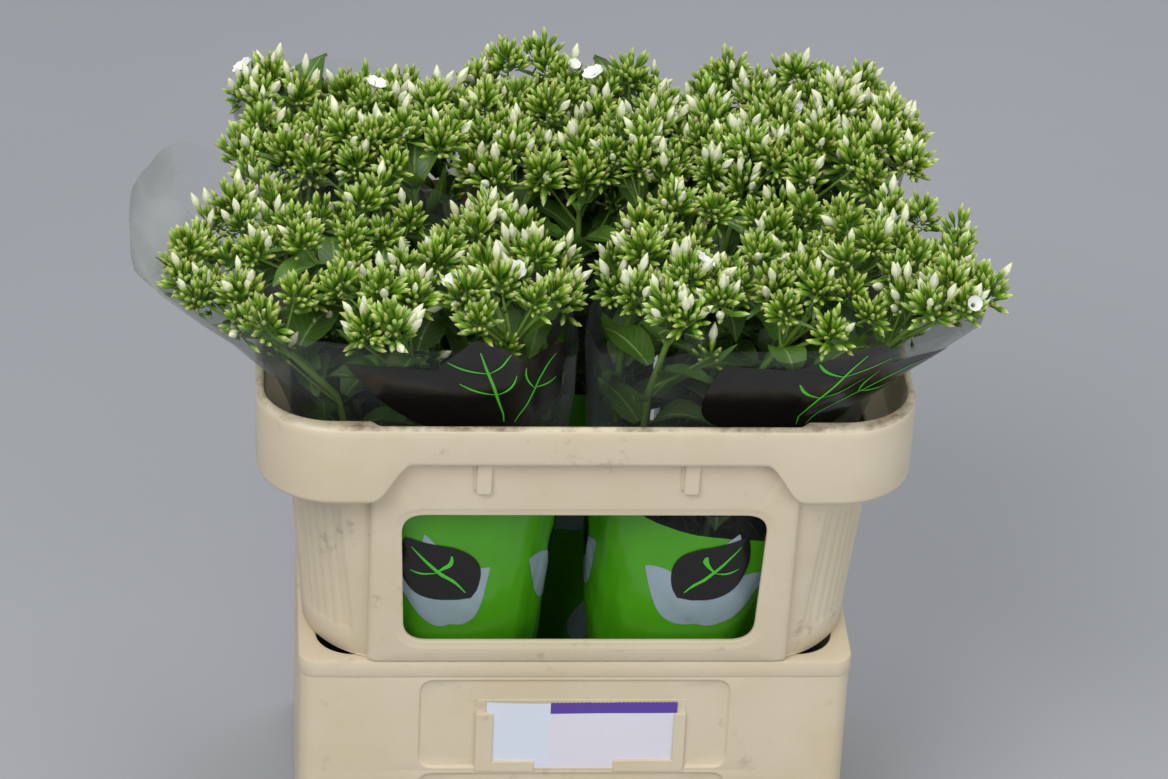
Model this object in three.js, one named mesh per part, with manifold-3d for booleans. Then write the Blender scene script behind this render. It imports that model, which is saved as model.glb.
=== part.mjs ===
// Cut phlox in bud, five sleeved bunches of ten stems, standing in a two-part
// plastic flower container: a base bucket with a label card, and a window collar on top.
// Millimetres, +Z up. The origin is the middle of the bucket's underside, and -Y is the front.
import * as THREE from 'three';
import { mergeVertices } from 'three/addons/utils/BufferGeometryUtils.js';
import Module from 'manifold-3d';

const wasm = await Module();
wasm.setup();

// Container, from its 400 x 300 footprint
const FOOTPRINT = { x: 200, y: 150 };
const CORNER = 12;
const WALL = 4;
const BASE_HEIGHT = 240;
const RIM_HEIGHT = 456;
const CORNER_STEPS = 4;
// A cut runs this far past the face it opens, and joined shapes run this far into each other.
const CUT_SLACK = 5;
const WELD = 1;

// The base's bevelled foot, flat top edge, proud band, two shallow panels and card holder
const FOOT_BEVEL = 4;
const FLOOR_ROUND = { inset: 2, rise: 6 };
const TOP_EDGE = { x: 12, y: 10, corner: 28, depth: 7, slope: 8 };
const BAND = { height: 14, proud: 1 };
const PANEL = { halfWidth: 113, depth: 2, corner: 10 };
const UPPER_PANEL = { bottom: 145, top: 223 };
const LOWER_PANEL = { bottom: 70, top: 141 };
const CARD = { width: 140, height: 57, thickness: 0.8, middleX: 5, bottom: 147, bow: 1.6, steps: 8 };
const RAIL = { height: 59, lip: 3, proud: 4.6, face: 1.2, gap: 0.4 };

// The collar's tapered body, its wider lip, its window panels and its flutes
const COLLAR_WALL = 3;
const SEAT_GAP = 0.3;
const SPIGOT = { drop: 12, inset: 1, taper: 1 };
const COLLAR_FOOT = { x: 198, y: 149, corner: 70 };
const COLLAR_SHOULDER = { x: 210, y: 161, corner: 64 };
const LIP = { x: 233, y: 184, corner: 56, height: 62, taper: 0.6, wall: 5 };
const LIP_MIDDLE = { height: 31, halfWidth: 128, slopeWidth: 24 };
const WINDOW_PANEL = { halfWidth: 152, footY: 152, topY: 172 };
const WINDOW = { bottom: 260, top: 375, bottomHalf: 126, topHalf: 130, corner: 18 };
const TAB = { x: 73, width: 11, proud: 4, root: 6, height: 31 };
const FLUTE = { count: 5, first: 160, pitch: 8, width: 3.5, proud: 1.4, root: 90, bottom: 262, top: 370 };

// Bunches: middle and half size of each one's outline at these heights
const LEVELS = [6, 240, 456, 560];
const SLEEVE_BOTTOM = 48;
const BUNCHES = [
  { name: 'front_left', sleeveLow: 500, sleeveHigh: 560,
    x: [-80, -88, -112, -160], halfX: [40, 64, 105, 156],
    y: [-58, -66, -85, -106], halfY: [40, 62, 78, 101] },
  { name: 'front_right', sleeveLow: 496, sleeveHigh: 552,
    x: [76, 78, 106, 158], halfX: [40, 66, 102, 154],
    y: [-58, -66, -85, -106], halfY: [40, 62, 78, 101] },
  { name: 'back_left', sleeveLow: 500, sleeveHigh: 556,
    x: [-112, -122, -144, -172], halfX: [38, 52, 70, 84],
    y: [58, 66, 84, 98], halfY: [40, 60, 80, 96] },
  { name: 'back_middle', sleeveLow: 500, sleeveHigh: 556,
    x: [0, 0, 0, 0], halfX: [38, 58, 68, 85],
    y: [58, 66, 84, 98], halfY: [40, 60, 80, 96] },
  { name: 'back_right', sleeveLow: 500, sleeveHigh: 556,
    x: [112, 122, 144, 172], halfX: [38, 52, 70, 84],
    y: [58, 66, 84, 98], halfY: [40, 60, 80, 96] },
];
// Ten stems to a bunch, in rows from front to back, in the bunch's own coordinates
const STEM_ROWS = [
  { v: -0.63, across: [-0.58, 0.02, 0.6] },
  { v: 0, across: [-0.78, -0.25, 0.27, 0.77] },
  { v: 0.63, across: [-0.6, -0.01, 0.57] },
];
const STEM_STRAY = 0.1;
const FILM = 0.8;
const OUTLINE_SIDES = 16;
const OUTLINE_POWER = 0.72;
const CELL_REACH = 0.97;
const CELL_GAP = 0.011;

// One stem: a thin stalk, crossed pairs of leaves and a domed head of bud clusters
const STEM_SIDES = 8;
const STALK = { foot: 7, radius: 3.4, neckRadius: 2.2 };
const LEAF = { lowest: 330, pitch: 66, pairs: 3, reach: 46, rise: 36, halfWidth: 12, thickness: 3,
  jitter: 12, smallest: 0.8 };
const HEAD = { lowest: 542, range: 24, radius: 54 };
const HEAD_RINGS = [
  { drop: 34, share: 0.05 }, { drop: 20, share: 0.72 }, { drop: 2, share: 1 }, { drop: -20, share: 0.6 },
];
const ROOM_SHARE = 0.92;

const COLOURS = {
  base: 0xe2cfae, collar: 0xe6d6b6, card: 0xe9e6ee, sleeve: 0xbfd8c0, stem: 0x6f9a3c,
};

// Helpers

function lerp(a, b, t) {
  return a + (b - a) * t;
}

// A repeatable number from 0 to 1 for each pair of counters.
function scatter(i, k) {
  const wave = Math.sin(i * 12.9898 + k * 78.233) * 43758.5453;
  return wave - Math.floor(wave);
}

function toSolid(geometry) {
  const bare = geometry.clone();
  bare.deleteAttribute('normal');
  bare.deleteAttribute('uv');
  const merged = mergeVertices(bare, 1e-4);
  return new wasm.Manifold(new wasm.Mesh({
    numProp: 3,
    vertProperties: new Float32Array(merged.attributes.position.array),
    triVerts: new Uint32Array(merged.index.array),
  }));
}

function toGeometry(solid) {
  const mesh = solid.getMesh();
  const geometry = new THREE.BufferGeometry();
  geometry.setAttribute('position', new THREE.BufferAttribute(new Float32Array(mesh.vertProperties), 3));
  geometry.setIndex(new THREE.BufferAttribute(new Uint32Array(mesh.triVerts), 1));
  geometry.computeVertexNormals();
  return geometry;
}

// A closed solid through rings of points, each ring anticlockwise seen from above. The quads above a ring
// that mirrored() picks are split along their other diagonal.
function loft(rings, closedTube = false, mirrored = () => false) {
  const count = rings[0].length;
  const positions = rings.flat().flatMap((p) => [p.x, p.y, p.z]);
  const faces = [];
  const bands = closedTube ? rings.length : rings.length - 1;
  for (let r = 0; r < bands; r += 1) {
    const low = r * count;
    const high = ((r + 1) % rings.length) * count;
    for (let i = 0; i < count; i += 1) {
      const j = (i + 1) % count;
      if (mirrored(rings[r])) {
        faces.push(low + i, low + j, high + i, low + j, high + j, high + i);
      } else {
        faces.push(low + i, low + j, high + j, low + i, high + j, high + i);
      }
    }
  }
  if (!closedTube) {
    const top = (rings.length - 1) * count;
    for (let i = 1; i < count - 1; i += 1) {
      faces.push(0, i + 1, i);
      faces.push(top, top + i, top + i + 1);
    }
  }
  const geometry = new THREE.BufferGeometry();
  geometry.setAttribute('position', new THREE.Float32BufferAttribute(positions, 3));
  geometry.setIndex(faces);
  return geometry;
}

function roundedRing(halfX, halfY, radius, z) {
  const ring = [];
  const middles = [[1, 1], [-1, 1], [-1, -1], [1, -1]];
  middles.forEach(([sx, sy], quarter) => {
    for (let s = 0; s <= CORNER_STEPS; s += 1) {
      const angle = (quarter + s / CORNER_STEPS) * Math.PI / 2;
      ring.push(new THREE.Vector3(
        sx * (halfX - radius) + radius * Math.cos(angle),
        sy * (halfY - radius) + radius * Math.sin(angle),
        z,
      ));
    }
  });
  return ring;
}

function roundedLoft(sections) {
  return toSolid(loft(sections.map((s) => roundedRing(s.x, s.y, s.corner, s.z))));
}

function boxSolid(lowX, highX, lowY, highY, lowZ, highZ) {
  const box = new THREE.BoxGeometry(highX - lowX, highY - lowY, highZ - lowZ);
  box.translate((lowX + highX) / 2, (lowY + highY) / 2, (lowZ + highZ) / 2);
  return toSolid(box);
}

// A flat outline drawn in X and Z, extruded along Y between two depths.
function frontSlab(shape, lowY, highY, curveSteps) {
  const slab = new THREE.ExtrudeGeometry(shape, {
    depth: highY - lowY, bevelEnabled: false, curveSegments: curveSteps,
  });
  slab.rotateX(Math.PI / 2);
  slab.translate(0, highY, 0);
  return toSolid(slab);
}

function roundedTrapezoid(bottomHalf, topHalf, bottom, top, radius) {
  const corners = [[-bottomHalf, bottom], [bottomHalf, bottom], [topHalf, top], [-topHalf, top]]
    .map(([x, y]) => new THREE.Vector2(x, y));
  const shape = new THREE.Shape();
  corners.forEach((corner, i) => {
    const before = corners[(i + 3) % 4];
    const after = corners[(i + 1) % 4];
    const start = corner.clone().add(before.clone().sub(corner).setLength(radius));
    const end = corner.clone().add(after.clone().sub(corner).setLength(radius));
    if (i === 0) {
      shape.moveTo(start.x, start.y);
    } else {
      shape.lineTo(start.x, start.y);
    }
    shape.quadraticCurveTo(corner.x, corner.y, end.x, end.y);
  });
  shape.closePath();
  return shape;
}

function bothFaces(build) {
  return build(-1).add(build(1));
}

function union(solids) {
  return solids.reduce((whole, next) => whole.add(next));
}

function slabAt(side, shape, nearY, farY, curveSteps) {
  const low = Math.min(side * nearY, side * farY);
  const high = Math.max(side * nearY, side * farY);
  return frontSlab(shape, low, high, curveSteps);
}

// Base bucket

function basePanel(side, heights) {
  const outline = roundedTrapezoid(
    PANEL.halfWidth, PANEL.halfWidth, heights.bottom, heights.top, PANEL.corner,
  );
  return slabAt(side, outline, FOOTPRINT.y - PANEL.depth, FOOTPRINT.y + CUT_SLACK, 3);
}

function cardHolder() {
  const floorY = -FOOTPRINT.y + PANEL.depth;
  const frontY = floorY - RAIL.proud;
  const left = CARD.middleX - CARD.width / 2;
  const right = CARD.middleX + CARD.width / 2;
  const top = CARD.bottom + RAIL.height;
  const block = boxSolid(left - RAIL.lip, right + RAIL.lip, frontY, floorY + WELD,
    CARD.bottom - RAIL.lip, top);
  const opening = boxSolid(left + RAIL.lip, right - RAIL.lip, frontY - CUT_SLACK, floorY,
    CARD.bottom + RAIL.lip, top + CUT_SLACK);
  const slot = boxSolid(left - RAIL.gap, right + RAIL.gap, frontY + RAIL.face, floorY,
    CARD.bottom - RAIL.gap, top + CUT_SLACK);
  return block.subtract(opening).subtract(slot);
}

function makeBase() {
  const { x, y } = FOOTPRINT;
  const bandBottom = BASE_HEIGHT - BAND.height;
  const outer = roundedLoft([
    { x: x - FOOT_BEVEL, y: y - FOOT_BEVEL, corner: CORNER - FOOT_BEVEL, z: 0 },
    { x, y, corner: CORNER, z: FOOT_BEVEL },
    { x, y, corner: CORNER, z: bandBottom },
    { x: x + BAND.proud, y: y + BAND.proud, corner: CORNER + BAND.proud, z: bandBottom + BAND.proud },
    { x: x + BAND.proud, y: y + BAND.proud, corner: CORNER + BAND.proud, z: BASE_HEIGHT },
  ]);
  const edgeBottom = BASE_HEIGHT - TOP_EDGE.depth;
  const inside = { x: x - WALL, y: y - WALL, corner: CORNER - WALL };
  const mouth = { x: x - TOP_EDGE.x, y: y - TOP_EDGE.y, corner: TOP_EDGE.corner };
  const inner = roundedLoft([
    { ...inside, x: inside.x - FLOOR_ROUND.inset, y: inside.y - FLOOR_ROUND.inset, z: WALL },
    { ...inside, z: WALL + FLOOR_ROUND.rise },
    { ...inside, z: edgeBottom - TOP_EDGE.slope },
    { ...mouth, z: edgeBottom },
    { ...mouth, z: BASE_HEIGHT + CUT_SLACK },
  ]);
  return outer
    .subtract(inner)
    .subtract(bothFaces((side) => basePanel(side, UPPER_PANEL)))
    .subtract(bothFaces((side) => basePanel(side, LOWER_PANEL)))
    .add(cardHolder());
}

// The card is a thin strip, bowed a little towards the front between its rails.
function makeCard() {
  const floorY = -FOOTPRINT.y + PANEL.depth;
  const backY = floorY - 2 * RAIL.gap;
  const left = CARD.middleX - CARD.width / 2;
  const bowAt = (t) => CARD.bow * Math.sin(Math.PI * t);
  const front = [];
  const back = [];
  for (let i = 0; i <= CARD.steps; i += 1) {
    const t = i / CARD.steps;
    front.push(new THREE.Vector2(left + CARD.width * t, backY - CARD.thickness - bowAt(t)));
    back.unshift(new THREE.Vector2(left + CARD.width * t, backY - bowAt(t)));
  }
  const shape = new THREE.Shape([...front, ...back]);
  const card = new THREE.ExtrudeGeometry(shape, { depth: CARD.height, bevelEnabled: false });
  card.translate(0, 0, CARD.bottom);
  return toSolid(card);
}

// Window collar

function collarBody(inset, low, high) {
  const foot = BASE_HEIGHT + SEAT_GAP;
  const shoulder = RIM_HEIGHT - LIP.height;
  const at = (z) => {
    const t = (z - foot) / (shoulder - foot);
    return {
      x: lerp(COLLAR_FOOT.x, COLLAR_SHOULDER.x, t) - inset,
      y: lerp(COLLAR_FOOT.y, COLLAR_SHOULDER.y, t) - inset,
      corner: lerp(COLLAR_FOOT.corner, COLLAR_SHOULDER.corner, t) - inset,
      z,
    };
  };
  return roundedLoft([at(low), at(high)]);
}

function lipLoft(inset, low, high) {
  const at = (z) => {
    const narrow = inset + LIP.taper * (RIM_HEIGHT - z) / LIP.height;
    return { x: LIP.x - narrow, y: LIP.y - narrow, corner: LIP.corner - narrow, z };
  };
  return roundedLoft([at(low), at(high)]);
}

// The middle of each long side is plain panel up to where the shallow part of the lip begins.
function windowPanel(side, inset, low, high) {
  const foot = BASE_HEIGHT + SEAT_GAP;
  const top = RIM_HEIGHT - LIP_MIDDLE.height;
  const faceAt = (z) => lerp(WINDOW_PANEL.footY, WINDOW_PANEL.topY, (z - foot) / (top - foot)) - inset;
  const half = WINDOW_PANEL.halfWidth - inset;
  const shape = new THREE.Shape();
  shape.moveTo(0, low);
  shape.lineTo(faceAt(low), low);
  shape.lineTo(faceAt(high), high);
  shape.lineTo(0, high);
  shape.closePath();
  const panel = new THREE.ExtrudeGeometry(shape, { depth: 2 * half, bevelEnabled: false });
  panel.translate(0, 0, -half);
  panel.rotateX(Math.PI / 2);
  panel.rotateZ(side * Math.PI / 2);
  return toSolid(panel);
}

function lipCutaway(side) {
  const low = RIM_HEIGHT - LIP.height - CUT_SLACK;
  const high = RIM_HEIGHT - LIP_MIDDLE.height;
  const outline = roundedTrapezoid(
    LIP_MIDDLE.halfWidth + LIP_MIDDLE.slopeWidth, LIP_MIDDLE.halfWidth, low, high, CUT_SLACK,
  );
  return slabAt(side, outline, 0, LIP.y + CUT_SLACK, 2);
}

function collarWindow(side) {
  const outline = roundedTrapezoid(
    WINDOW.bottomHalf, WINDOW.topHalf, WINDOW.bottom, WINDOW.top, WINDOW.corner,
  );
  return slabAt(side, outline, COLLAR_FOOT.y / 2, LIP.y, 4);
}

function collarTabs(side) {
  const top = RIM_HEIGHT - LIP_MIDDLE.height + WELD;
  const face = WINDOW_PANEL.topY;
  const tab = (x) => {
    const reach = [side * (face - TAB.root), side * (face + TAB.proud)].sort((a, b) => a - b);
    return boxSolid(x - TAB.width / 2, x + TAB.width / 2, reach[0], reach[1], top - TAB.height, top);
  };
  return tab(-TAB.x).add(tab(TAB.x));
}

function collarFlutes(side) {
  const reach = [side * FLUTE.root, side * (COLLAR_SHOULDER.y + CUT_SLACK)].sort((a, b) => a - b);
  const rib = (x) => boxSolid(
    x - FLUTE.width / 2, x + FLUTE.width / 2, reach[0], reach[1], FLUTE.bottom, FLUTE.top,
  );
  const ribs = [];
  for (let i = 0; i < FLUTE.count; i += 1) {
    const x = FLUTE.first + i * FLUTE.pitch;
    ribs.push(rib(x), rib(-x));
  }
  const skin = collarBody(-FLUTE.proud, BASE_HEIGHT + SEAT_GAP, RIM_HEIGHT - LIP.height);
  return union(ribs).intersect(skin);
}

function makeCollar() {
  const foot = BASE_HEIGHT + SEAT_GAP;
  const shoulder = RIM_HEIGHT - LIP.height;
  const middle = RIM_HEIGHT - LIP_MIDDLE.height;
  const above = RIM_HEIGHT + CUT_SLACK;
  const lip = lipLoft(0, shoulder, RIM_HEIGHT)
    .subtract(bothFaces(lipCutaway));
  const spigotLoft = (inset, low, high) => {
    const x = FOOTPRINT.x - TOP_EDGE.x - SPIGOT.inset - inset;
    const y = FOOTPRINT.y - TOP_EDGE.y - SPIGOT.inset - inset;
    const corner = COLLAR_FOOT.corner - inset;
    return roundedLoft([
      { x: x - SPIGOT.taper, y: y - SPIGOT.taper, corner, z: low },
      { x, y, corner, z: high },
    ]);
  };
  const outer = collarBody(0, foot, shoulder + WELD)
    .add(bothFaces((side) => windowPanel(side, 0, foot, middle + WELD)))
    .add(bothFaces(collarFlutes))
    .add(lip)
    .add(bothFaces(collarTabs))
    .add(spigotLoft(0, foot - SPIGOT.drop, foot + WELD));
  const lipRoom = lipLoft(LIP.wall, shoulder + COLLAR_WALL, above)
    .subtract(bothFaces((side) => windowPanel(side, 0, shoulder, middle + COLLAR_WALL)));
  const room = collarBody(COLLAR_WALL, foot + COLLAR_WALL, above)
    .add(spigotLoft(COLLAR_WALL, foot - SPIGOT.drop - CUT_SLACK, foot + 2 * COLLAR_WALL))
    .add(bothFaces((side) => windowPanel(side, COLLAR_WALL, foot + COLLAR_WALL, middle)))
    .add(lipRoom)
    .add(lipLoft(LIP.wall, middle + COLLAR_WALL, above));
  return outer
    .subtract(room)
    .subtract(bothFaces(collarWindow));
}

// Bunch layout

// The stretch between two levels that a height lies in; above the last level nothing widens.
function levelAt(height) {
  const z = Math.min(height, LEVELS[LEVELS.length - 1]);
  const i = LEVELS.slice(1).findIndex((level) => z <= level);
  return { i, t: (z - LEVELS[i]) / (LEVELS[i + 1] - LEVELS[i]) };
}

// Bunch coordinates u and v run from -1 to 1 across the outline at every height.
function place(bunch, u, v, z) {
  const { i, t } = levelAt(z);
  const mix = (list) => lerp(list[i], list[i + 1], t);
  return new THREE.Vector3(
    mix(bunch.x) + u * mix(bunch.halfX),
    mix(bunch.y) + v * mix(bunch.halfY),
    z,
  );
}

function outline(reach) {
  const points = [];
  for (let i = 0; i < OUTLINE_SIDES; i += 1) {
    const angle = (2 * Math.PI * (i + 0.5)) / OUTLINE_SIDES;
    const c = Math.cos(angle);
    const s = Math.sin(angle);
    points.push([
      reach * Math.sign(c) * Math.abs(c) ** OUTLINE_POWER,
      reach * Math.sign(s) * Math.abs(s) ** OUTLINE_POWER,
    ]);
  }
  return points;
}

function sites(bunchIndex) {
  const points = STEM_ROWS.flatMap((row) => row.across.map((u) => [u, row.v]));
  return points.map(([u, v], i) => {
    const number = bunchIndex * points.length + i;
    return [u + STEM_STRAY * (scatter(number, 1) - 0.5), v + STEM_STRAY * (scatter(number, 2) - 0.5)];
  });
}

// The part of a polygon that is nearer to one site than to another, less half a gap.
function nearerHalf(polygon, site, other) {
  const nx = other[0] - site[0];
  const ny = other[1] - site[1];
  const length = Math.hypot(nx, ny);
  const limit = length / 2 - CELL_GAP;
  const depth = ([x, y]) => limit - ((x - site[0]) * nx + (y - site[1]) * ny) / length;
  const kept = [];
  polygon.forEach((point, i) => {
    const next = polygon[(i + 1) % polygon.length];
    const here = depth(point);
    const there = depth(next);
    if (here >= 0) {
      kept.push(point);
    }
    if (here * there < 0) {
      const t = here / (here - there);
      kept.push([lerp(point[0], next[0], t), lerp(point[1], next[1], t)]);
    }
  });
  return kept;
}

// Each stem keeps to its own room, a share of the bunch that widens upward with the sleeve.
function stemRoom(site, others) {
  return others.reduce((polygon, other) => nearerHalf(polygon, site, other), outline(CELL_REACH));
}

// How far a sideways step from the stalk may go before it leaves the stem's room.
function roomFor({ bunch, site, room }, z, step) {
  const middle = place(bunch, site[0], site[1], z);
  const walls = room.map(([u, v]) => place(bunch, u, v, z));
  return walls.reduce((share, wall, i) => {
    const next = walls[(i + 1) % walls.length];
    const normal = new THREE.Vector2(next.y - wall.y, wall.x - next.x);
    const reach = normal.dot(new THREE.Vector2(step.x, step.y));
    const space = normal.dot(new THREE.Vector2(wall.x - middle.x, wall.y - middle.y));
    return reach > 0 ? Math.min(share, ROOM_SHARE * space / reach) : share;
  }, 1);
}

// Stems

// A ring of eight points round the stalk; shapeAt gives each one's reach, side step and rise.
function stemRing(stem, z, shapeAt) {
  const ring = [];
  for (let s = 0; s < STEM_SIDES; s += 1) {
    const { along, across, rise } = shapeAt(s);
    const height = z + rise;
    const step = new THREE.Vector2(along, across).rotateAround(new THREE.Vector2(), stem.turn);
    step.multiplyScalar(Math.min(roomFor(stem, z, step), roomFor(stem, height, step)));
    const middle = place(stem.bunch, stem.site[0], stem.site[1], height);
    ring.push(new THREE.Vector3(middle.x + step.x, middle.y + step.y, height));
  }
  return ring;
}

function roundRing(stem, z, radius) {
  return stemRing(stem, z, (s) => {
    const angle = (2 * Math.PI * s) / STEM_SIDES;
    return { along: radius * Math.cos(angle), across: radius * Math.sin(angle), rise: 0 };
  });
}

// The outline of two opposite leaves, drawn out of the stalk and up to their tips.
function leafRing(stem, z, size, crossed) {
  const tip = [LEAF.reach, 0];
  const side = [LEAF.reach * 0.45, LEAF.halfWidth];
  const waist = [0, STALK.radius];
  const quarter = [tip, side, waist, [-side[0], side[1]]];
  return stemRing(stem, z, (s) => {
    const turned = (s + (crossed ? 2 : 0)) % STEM_SIDES;
    const flip = turned < 4 ? 1 : -1;
    const [x, y] = quarter[turned % 4].map((value) => value * flip * size);
    const rise = (LEAF.rise * Math.abs(x)) / LEAF.reach + LEAF.thickness / 2;
    return crossed ? { along: y, across: -x, rise } : { along: x, across: y, rise };
  });
}

function stalkRadius(z) {
  return lerp(STALK.radius, STALK.neckRadius, z / HEAD.lowest);
}

function makeStem(bunch, number, site, others) {
  const stem = { bunch, site, room: stemRoom(site, others), turn: scatter(number, 46) * Math.PI };
  const top = HEAD.lowest + HEAD.range * scatter(number, 80);
  // The stalk bends only at the levels, so it has a ring at each.
  const stretches = [STALK.foot, ...LEVELS.slice(1, -1)].map((z) => ({
    z, rings: [roundRing(stem, z, stalkRadius(z))],
  }));
  // A leaf's two faces are split the same way, so that they stay clear of each other.
  const leafy = [];
  for (let pair = 0; pair < LEAF.pairs; pair += 1) {
    const z = LEAF.lowest + LEAF.pitch * pair + LEAF.jitter * scatter(number, pair);
    const size = lerp(LEAF.smallest, 1, pair / (LEAF.pairs - 1));
    const leaves = leafRing(stem, z, size, pair % 2 === 1);
    leafy.push(leaves);
    const below = roundRing(stem, z, stalkRadius(z));
    const above = roundRing(stem, z + LEAF.thickness, stalkRadius(z));
    stretches.push({ z, rings: [below, leaves, above] });
  }
  HEAD_RINGS.forEach(({ drop, share }) => {
    stretches.push({ z: top - drop, rings: [roundRing(stem, top - drop, HEAD.radius * share)] });
  });
  stretches.sort((low, high) => low.z - high.z);
  return toSolid(loft(stretches.flatMap(({ rings }) => rings), false, (ring) => leafy.includes(ring)));
}

// Sleeves

function makeSleeve(bunch) {
  const heights = [SLEEVE_BOTTOM, ...LEVELS.slice(1, -1)];
  const ringAt = (z, film) => outline(1).map(([u, v]) => {
    const middle = place(bunch, 0, 0, z);
    const edge = place(bunch, u, v, z);
    const outward = new THREE.Vector3(edge.x - middle.x, edge.y - middle.y, 0).setLength(film);
    return edge.add(outward);
  });
  // The cut top edge is low at the front and rises to the back.
  const topRing = (film) => outline(1).map(([u, v]) => {
    const z = lerp(bunch.sleeveLow, bunch.sleeveHigh, (v + 1) / 2);
    const middle = place(bunch, 0, 0, z);
    const edge = place(bunch, u, v, z);
    const outward = new THREE.Vector3(edge.x - middle.x, edge.y - middle.y, 0).setLength(film);
    return edge.add(outward);
  });
  const outside = [...heights.map((z) => ringAt(z, FILM)), topRing(FILM)];
  const inside = [topRing(0), ...heights.slice().reverse().map((z) => ringAt(z, 0))];
  // Both faces of the film are split the same way, so that it has the same thickness everywhere.
  return toSolid(loft([...outside, ...inside], true, (ring) => inside.includes(ring)));
}

// Assembly

function mesh(name, solid, colour, roughness, opacity = 1) {
  const material = new THREE.MeshStandardMaterial({ color: colour, roughness, metalness: 0 });
  material.opacity = opacity;
  material.transparent = opacity < 1;
  const part = new THREE.Mesh(toGeometry(solid), material);
  part.name = name;
  return part;
}

const group = new THREE.Group();
group.add(mesh('base_bucket', makeBase(), COLOURS.base, 0.5));
group.add(mesh('label_card', makeCard(), COLOURS.card, 0.6));
group.add(mesh('window_collar', makeCollar(), COLOURS.collar, 0.5));

BUNCHES.forEach((bunch, bunchIndex) => {
  group.add(mesh(`sleeve_${bunch.name}`, makeSleeve(bunch), COLOURS.sleeve, 0.2, 0.5));
  const list = sites(bunchIndex);
  list.forEach((site, i) => {
    const others = list.filter((other) => other !== site);
    const number = bunchIndex * list.length + i;
    const label = String(i + 1).padStart(2, '0');
    group.add(mesh(`stem_${bunch.name}_${label}`, makeStem(bunch, number, site, others), COLOURS.stem, 0.6));
  });
});

export default group;
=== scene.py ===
"""Cut phlox in bud: five sleeved bunches of ten stems in a two-part plastic flower container.

The frame gives the container, the sleeves and the stems at their real size. This script
gives each of them its fine shape and its finish. Lengths here are in millimetres and are
turned into metres where a mesh is made; +Z is up and -Y is the front.
"""
import math

import bpy
import numpy as np
from mathutils import Matrix, Vector


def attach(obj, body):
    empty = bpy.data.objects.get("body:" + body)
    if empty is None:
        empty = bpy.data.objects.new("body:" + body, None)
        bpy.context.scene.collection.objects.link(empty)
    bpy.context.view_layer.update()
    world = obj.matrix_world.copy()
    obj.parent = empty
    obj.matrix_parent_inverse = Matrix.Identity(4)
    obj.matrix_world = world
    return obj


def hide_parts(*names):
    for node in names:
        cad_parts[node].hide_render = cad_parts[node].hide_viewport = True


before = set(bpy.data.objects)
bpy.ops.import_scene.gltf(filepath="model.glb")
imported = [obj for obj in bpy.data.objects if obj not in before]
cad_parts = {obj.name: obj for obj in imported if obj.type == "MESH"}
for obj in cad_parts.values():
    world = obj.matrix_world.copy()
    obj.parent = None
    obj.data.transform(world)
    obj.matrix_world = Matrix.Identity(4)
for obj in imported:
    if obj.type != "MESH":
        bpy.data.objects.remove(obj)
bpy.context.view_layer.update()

MM = 0.001
UP = np.array((0.0, 0.0, 1.0))

# Photograph's frame and the camera that was fitted to the container in it
PHOTO_WIDTH = 1168
FOCAL_PIXELS = 4762
CAMERA_TURN = math.radians(-4.87)
CAMERA_ELEVATION = math.radians(31.02)
CAMERA_ROLL = math.radians(2.73)
CAMERA_DISTANCE = 3500
CAMERA_TARGET = (8.5, 0.0, 378.7)
SENSOR_WIDTH = 36

# Container
FOOTPRINT_X = 200
FOOTPRINT_Y = 150
BASE_CORNER = 12
BASE_HEIGHT = 240
BASE_WALL = 4
BAND_HEIGHT = 14
SHELF_X = 12
SHELF_Y = 10
SHELF_CORNER = 28
SHELF_DEPTH = 7
SHELF_SLOPE = 8
PANEL_HALF_WIDTH = 113
PANEL_DEPTH = 2
RIM_HEIGHT = 456
LIP_X = 233
LIP_Y = 184
LIP_CORNER = 56
LIP_BOTTOM = 394
LIP_MIDDLE_BOTTOM = 425
LIP_MIDDLE_HALF = 128
LIP_SLOPE = 24
LIP_WALL = 5
COLLAR_WALL = 3
WINDOW_BOTTOM = 260
WINDOW_TOP = 375
CARD_MIDDLE = 5

# Bunches, as in the frame: middle and half size of each outline at these heights
LEVELS = np.array((6.0, 240.0, 456.0, 560.0))
OUTLINE_POWER = 0.72
OUTLINE_NORM = 2 / OUTLINE_POWER
BUNCHES = [
    {"name": "front_left", "x": (-80, -88, -112, -160), "half_x": (40, 64, 105, 156),
     "y": (-58, -66, -85, -106), "half_y": (40, 62, 78, 101),
     "film_top": (478, 500, 554, 594, 580, 552, 532, 500)},
    {"name": "front_right", "x": (76, 78, 106, 158), "half_x": (40, 66, 102, 154),
     "y": (-58, -66, -85, -106), "half_y": (40, 62, 78, 101),
     "film_top": (520, 530, 520, 500, 478, 506, 530, 532)},
    {"name": "back_left", "x": (-112, -122, -144, -172), "half_x": (38, 52, 70, 84),
     "y": (58, 66, 84, 98), "half_y": (40, 60, 80, 96),
     "film_top": (490, 520, 548, 552, 540, 510, 494, 490)},
    {"name": "back_middle", "x": (0, 0, 0, 0), "half_x": (38, 58, 68, 85),
     "y": (58, 66, 84, 98), "half_y": (40, 60, 80, 96),
     "film_top": (490, 520, 545, 520, 490, 490, 488, 490)},
    {"name": "back_right", "x": (112, 122, 144, 172), "half_x": (38, 52, 70, 84),
     "y": (58, 66, 84, 98), "half_y": (40, 60, 80, 96),
     "film_top": (535, 550, 548, 520, 490, 490, 494, 512)},
]
STEM_ROWS = (
    (-0.63, (-0.58, 0.02, 0.6)),
    (0.0, (-0.78, -0.25, 0.27, 0.77)),
    (0.63, (-0.6, -0.01, 0.57)),
)
STEM_STRAY = 0.1
STEMS_PER_BUNCH = 10
CROWN_LOWEST = 542
CROWN_RANGE = 24


# Mesh helpers

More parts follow.
